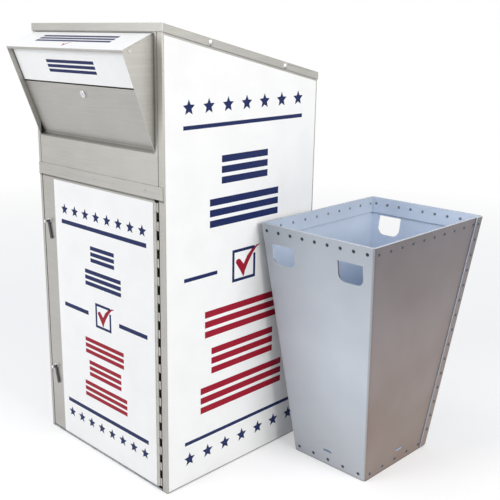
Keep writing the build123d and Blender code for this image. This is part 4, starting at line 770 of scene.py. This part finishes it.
def add_button(tree, points, axis, radius, height, bump, sign, middle_foot=0.97, middle_top=0.72):
    """Lens-shaped buttons on points, each with a bump in its middle, or a dimple if it is negative.

    The middle begins and is full at two shares of the radius.
    """
    ball = add_node(tree, "GeometryNodeMeshUVSphere", {"Segments": 24, "Rings": 16, "Radius": 1.0})
    spot = add_node(tree, "GeometryNodeInputPosition")
    parts = add_node(tree, "ShaderNodeSeparateXYZ", {0: spot}).outputs
    round_spot = add_node(tree, "ShaderNodeCombineXYZ", {"X": parts["X"], "Y": parts["Y"]})
    reach = add_node(tree, "ShaderNodeVectorMath", {0: round_spot}, operation="LENGTH")
    middle = add_node(tree, "ShaderNodeMapRange", {
        "Value": reach, "From Min": middle_foot, "From Max": middle_top})
    above = add_node(tree, "ShaderNodeMath", {0: parts["Z"], 1: 0.0}, operation="GREATER_THAN")
    middle = add_node(tree, "ShaderNodeMath", {0: middle, 1: above}, operation="MULTIPLY")
    raised = add_node(tree, "ShaderNodeMath", {0: middle, 1: bump}, operation="MULTIPLY")
    domed = add_node(tree, "ShaderNodeMath", {0: parts["Z"], 1: height}, operation="MULTIPLY")
    lift = add_node(tree, "ShaderNodeMath", {0: domed, 1: raised}, operation="ADD")
    lift = add_node(tree, "ShaderNodeCombineXYZ", {"Z": lift})
    across = add_node(tree, "ShaderNodeVectorMath", {0: round_spot, 3: radius}, operation="SCALE")
    shaped = add_node(tree, "ShaderNodeVectorMath", {0: across, 1: lift}, operation="ADD")
    sunk = add_node(tree, "ShaderNodeMath", {0: bump, 1: 0.0}, operation="LESS_THAN")
    hollow = add_node(tree, "ShaderNodeMath", {0: middle, 1: sunk}, operation="MULTIPLY")
    # The dimple is stored as the mask of its painted shade.
    marked = add_node(tree, "GeometryNodeStoreNamedAttribute", {
        "Geometry": ball, "Name": "painted_dimple_shade", "Value": hollow}, data_type="FLOAT")
    button = add_node(tree, "GeometryNodeSetPosition", {"Geometry": marked, "Position": shaped})
    button = add_node(tree, "GeometryNodeSetShadeSmooth", {"Geometry": button})
    pointing = add_node(tree, "ShaderNodeVectorMath", {0: axis, 3: sign}, operation="SCALE")
    turn = add_node(tree, "FunctionNodeAlignRotationToVector", {"Vector": pointing}, axis="Z")
    return add_node(tree, "GeometryNodeInstanceOnPoints", {
        "Points": points, "Instance": button, "Rotation": turn})


rivet_tree, given = new_tree("push_rivets", {
    "Head radius": "NodeSocketFloat", "Head height": "NodeSocketFloat", "Dimple": "NodeSocketFloat",
    "Cap radius": "NodeSocketFloat", "Cap height": "NodeSocketFloat", "Nib": "NodeSocketFloat",
    "Plastic": "NodeSocketMaterial"})
axis = add_node(rivet_tree, "GeometryNodeInputNamedAttribute", {"Name": "axis"}, data_type="FLOAT_VECTOR")
grip = add_node(rivet_tree, "GeometryNodeInputNamedAttribute", {"Name": "grip"}, data_type="FLOAT")
back_off = add_node(rivet_tree, "ShaderNodeVectorMath", {0: axis, 3: grip}, operation="SCALE")
ends = add_node(rivet_tree, "GeometryNodeSetPosition", {"Geometry": given["Geometry"], "Offset": back_off})
both = add_node(rivet_tree, "GeometryNodeJoinGeometry")
for points, end, bump, sign in ((given["Geometry"], "Head", "Dimple", 1.0), (ends, "Cap", "Nib", -1.0)):
    buttons = add_button(rivet_tree, points, axis, given[f"{end} radius"], given[f"{end} height"],
                         given[bump], sign)
    feed(rivet_tree, both, {0: buttons})
both = add_node(rivet_tree, "GeometryNodeRealizeInstances", {"Geometry": both})
both = add_node(rivet_tree, "GeometryNodeSetMaterial", {"Geometry": both, "Material": given["Plastic"]})
add_node(rivet_tree, "NodeGroupOutput", {"Geometry": both})

HEAD_HEIGHT, CAP_HEIGHT = 2.2 * MM, 1.2 * MM
for node in ("bin_rim_rivets", "bin_base_rivets", "bin_seam_rivets"):
    solids = bmesh.new()
    solids.from_mesh(frame["nodes"][node].data)
    bmesh.ops.remove_doubles(solids, verts=solids.verts, dist=WELD)
    met = set()
    starts, axes, grips = [], [], []
    for first in solids.verts:
        if first in met:
            continue
        met.add(first)
        rivet = [first]
        for corner in rivet:
            neighbours = [edge.other_vert(corner) for edge in corner.link_edges]
            rivet += [neighbour for neighbour in neighbours if neighbour not in met]
            met.update(neighbours)
        centre = sum((corner.co for corner in rivet), Vector()) / len(rivet)
        flats = [face for corner in rivet for face in corner.link_faces]
        outward = max(flats, key=lambda face: face.calc_area()).normal.copy()
        if outward.dot(centre - bin_middle) < 0:
            outward.negate()
        reaches = [corner.co.dot(outward) for corner in rivet]
        seat = max(reaches) - HEAD_HEIGHT
        starts.append(centre + outward * (seat - centre.dot(outward)))
        axes.append(outward)
        grips.append(min(reaches) + CAP_HEIGHT - seat)
    solids.free()
    places = bpy.data.meshes.new(f"{node}_places")
    places.from_pydata(starts, [], [])
    axis_values = [value for outward in axes for value in outward]
    places.attributes.new("axis", "FLOAT_VECTOR", "POINT").data.foreach_set("vector", axis_values)
    places.attributes.new("grip", "FLOAT", "POINT").data.foreach_set("value", grips)
    mesh = grown(rivet_tree, {
        "Head radius": 5.5 * MM, "Head height": HEAD_HEIGHT, "Dimple": -1.5 * MM,
        "Cap radius": 4.5 * MM, "Cap height": CAP_HEIGHT, "Nib": 0.5 * MM, "Plastic": rivet_plastic}, places)
    rivets = add_object(f"{node}_moulded", mesh)
    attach(rivets, BODY_OF[node])
    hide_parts(node)
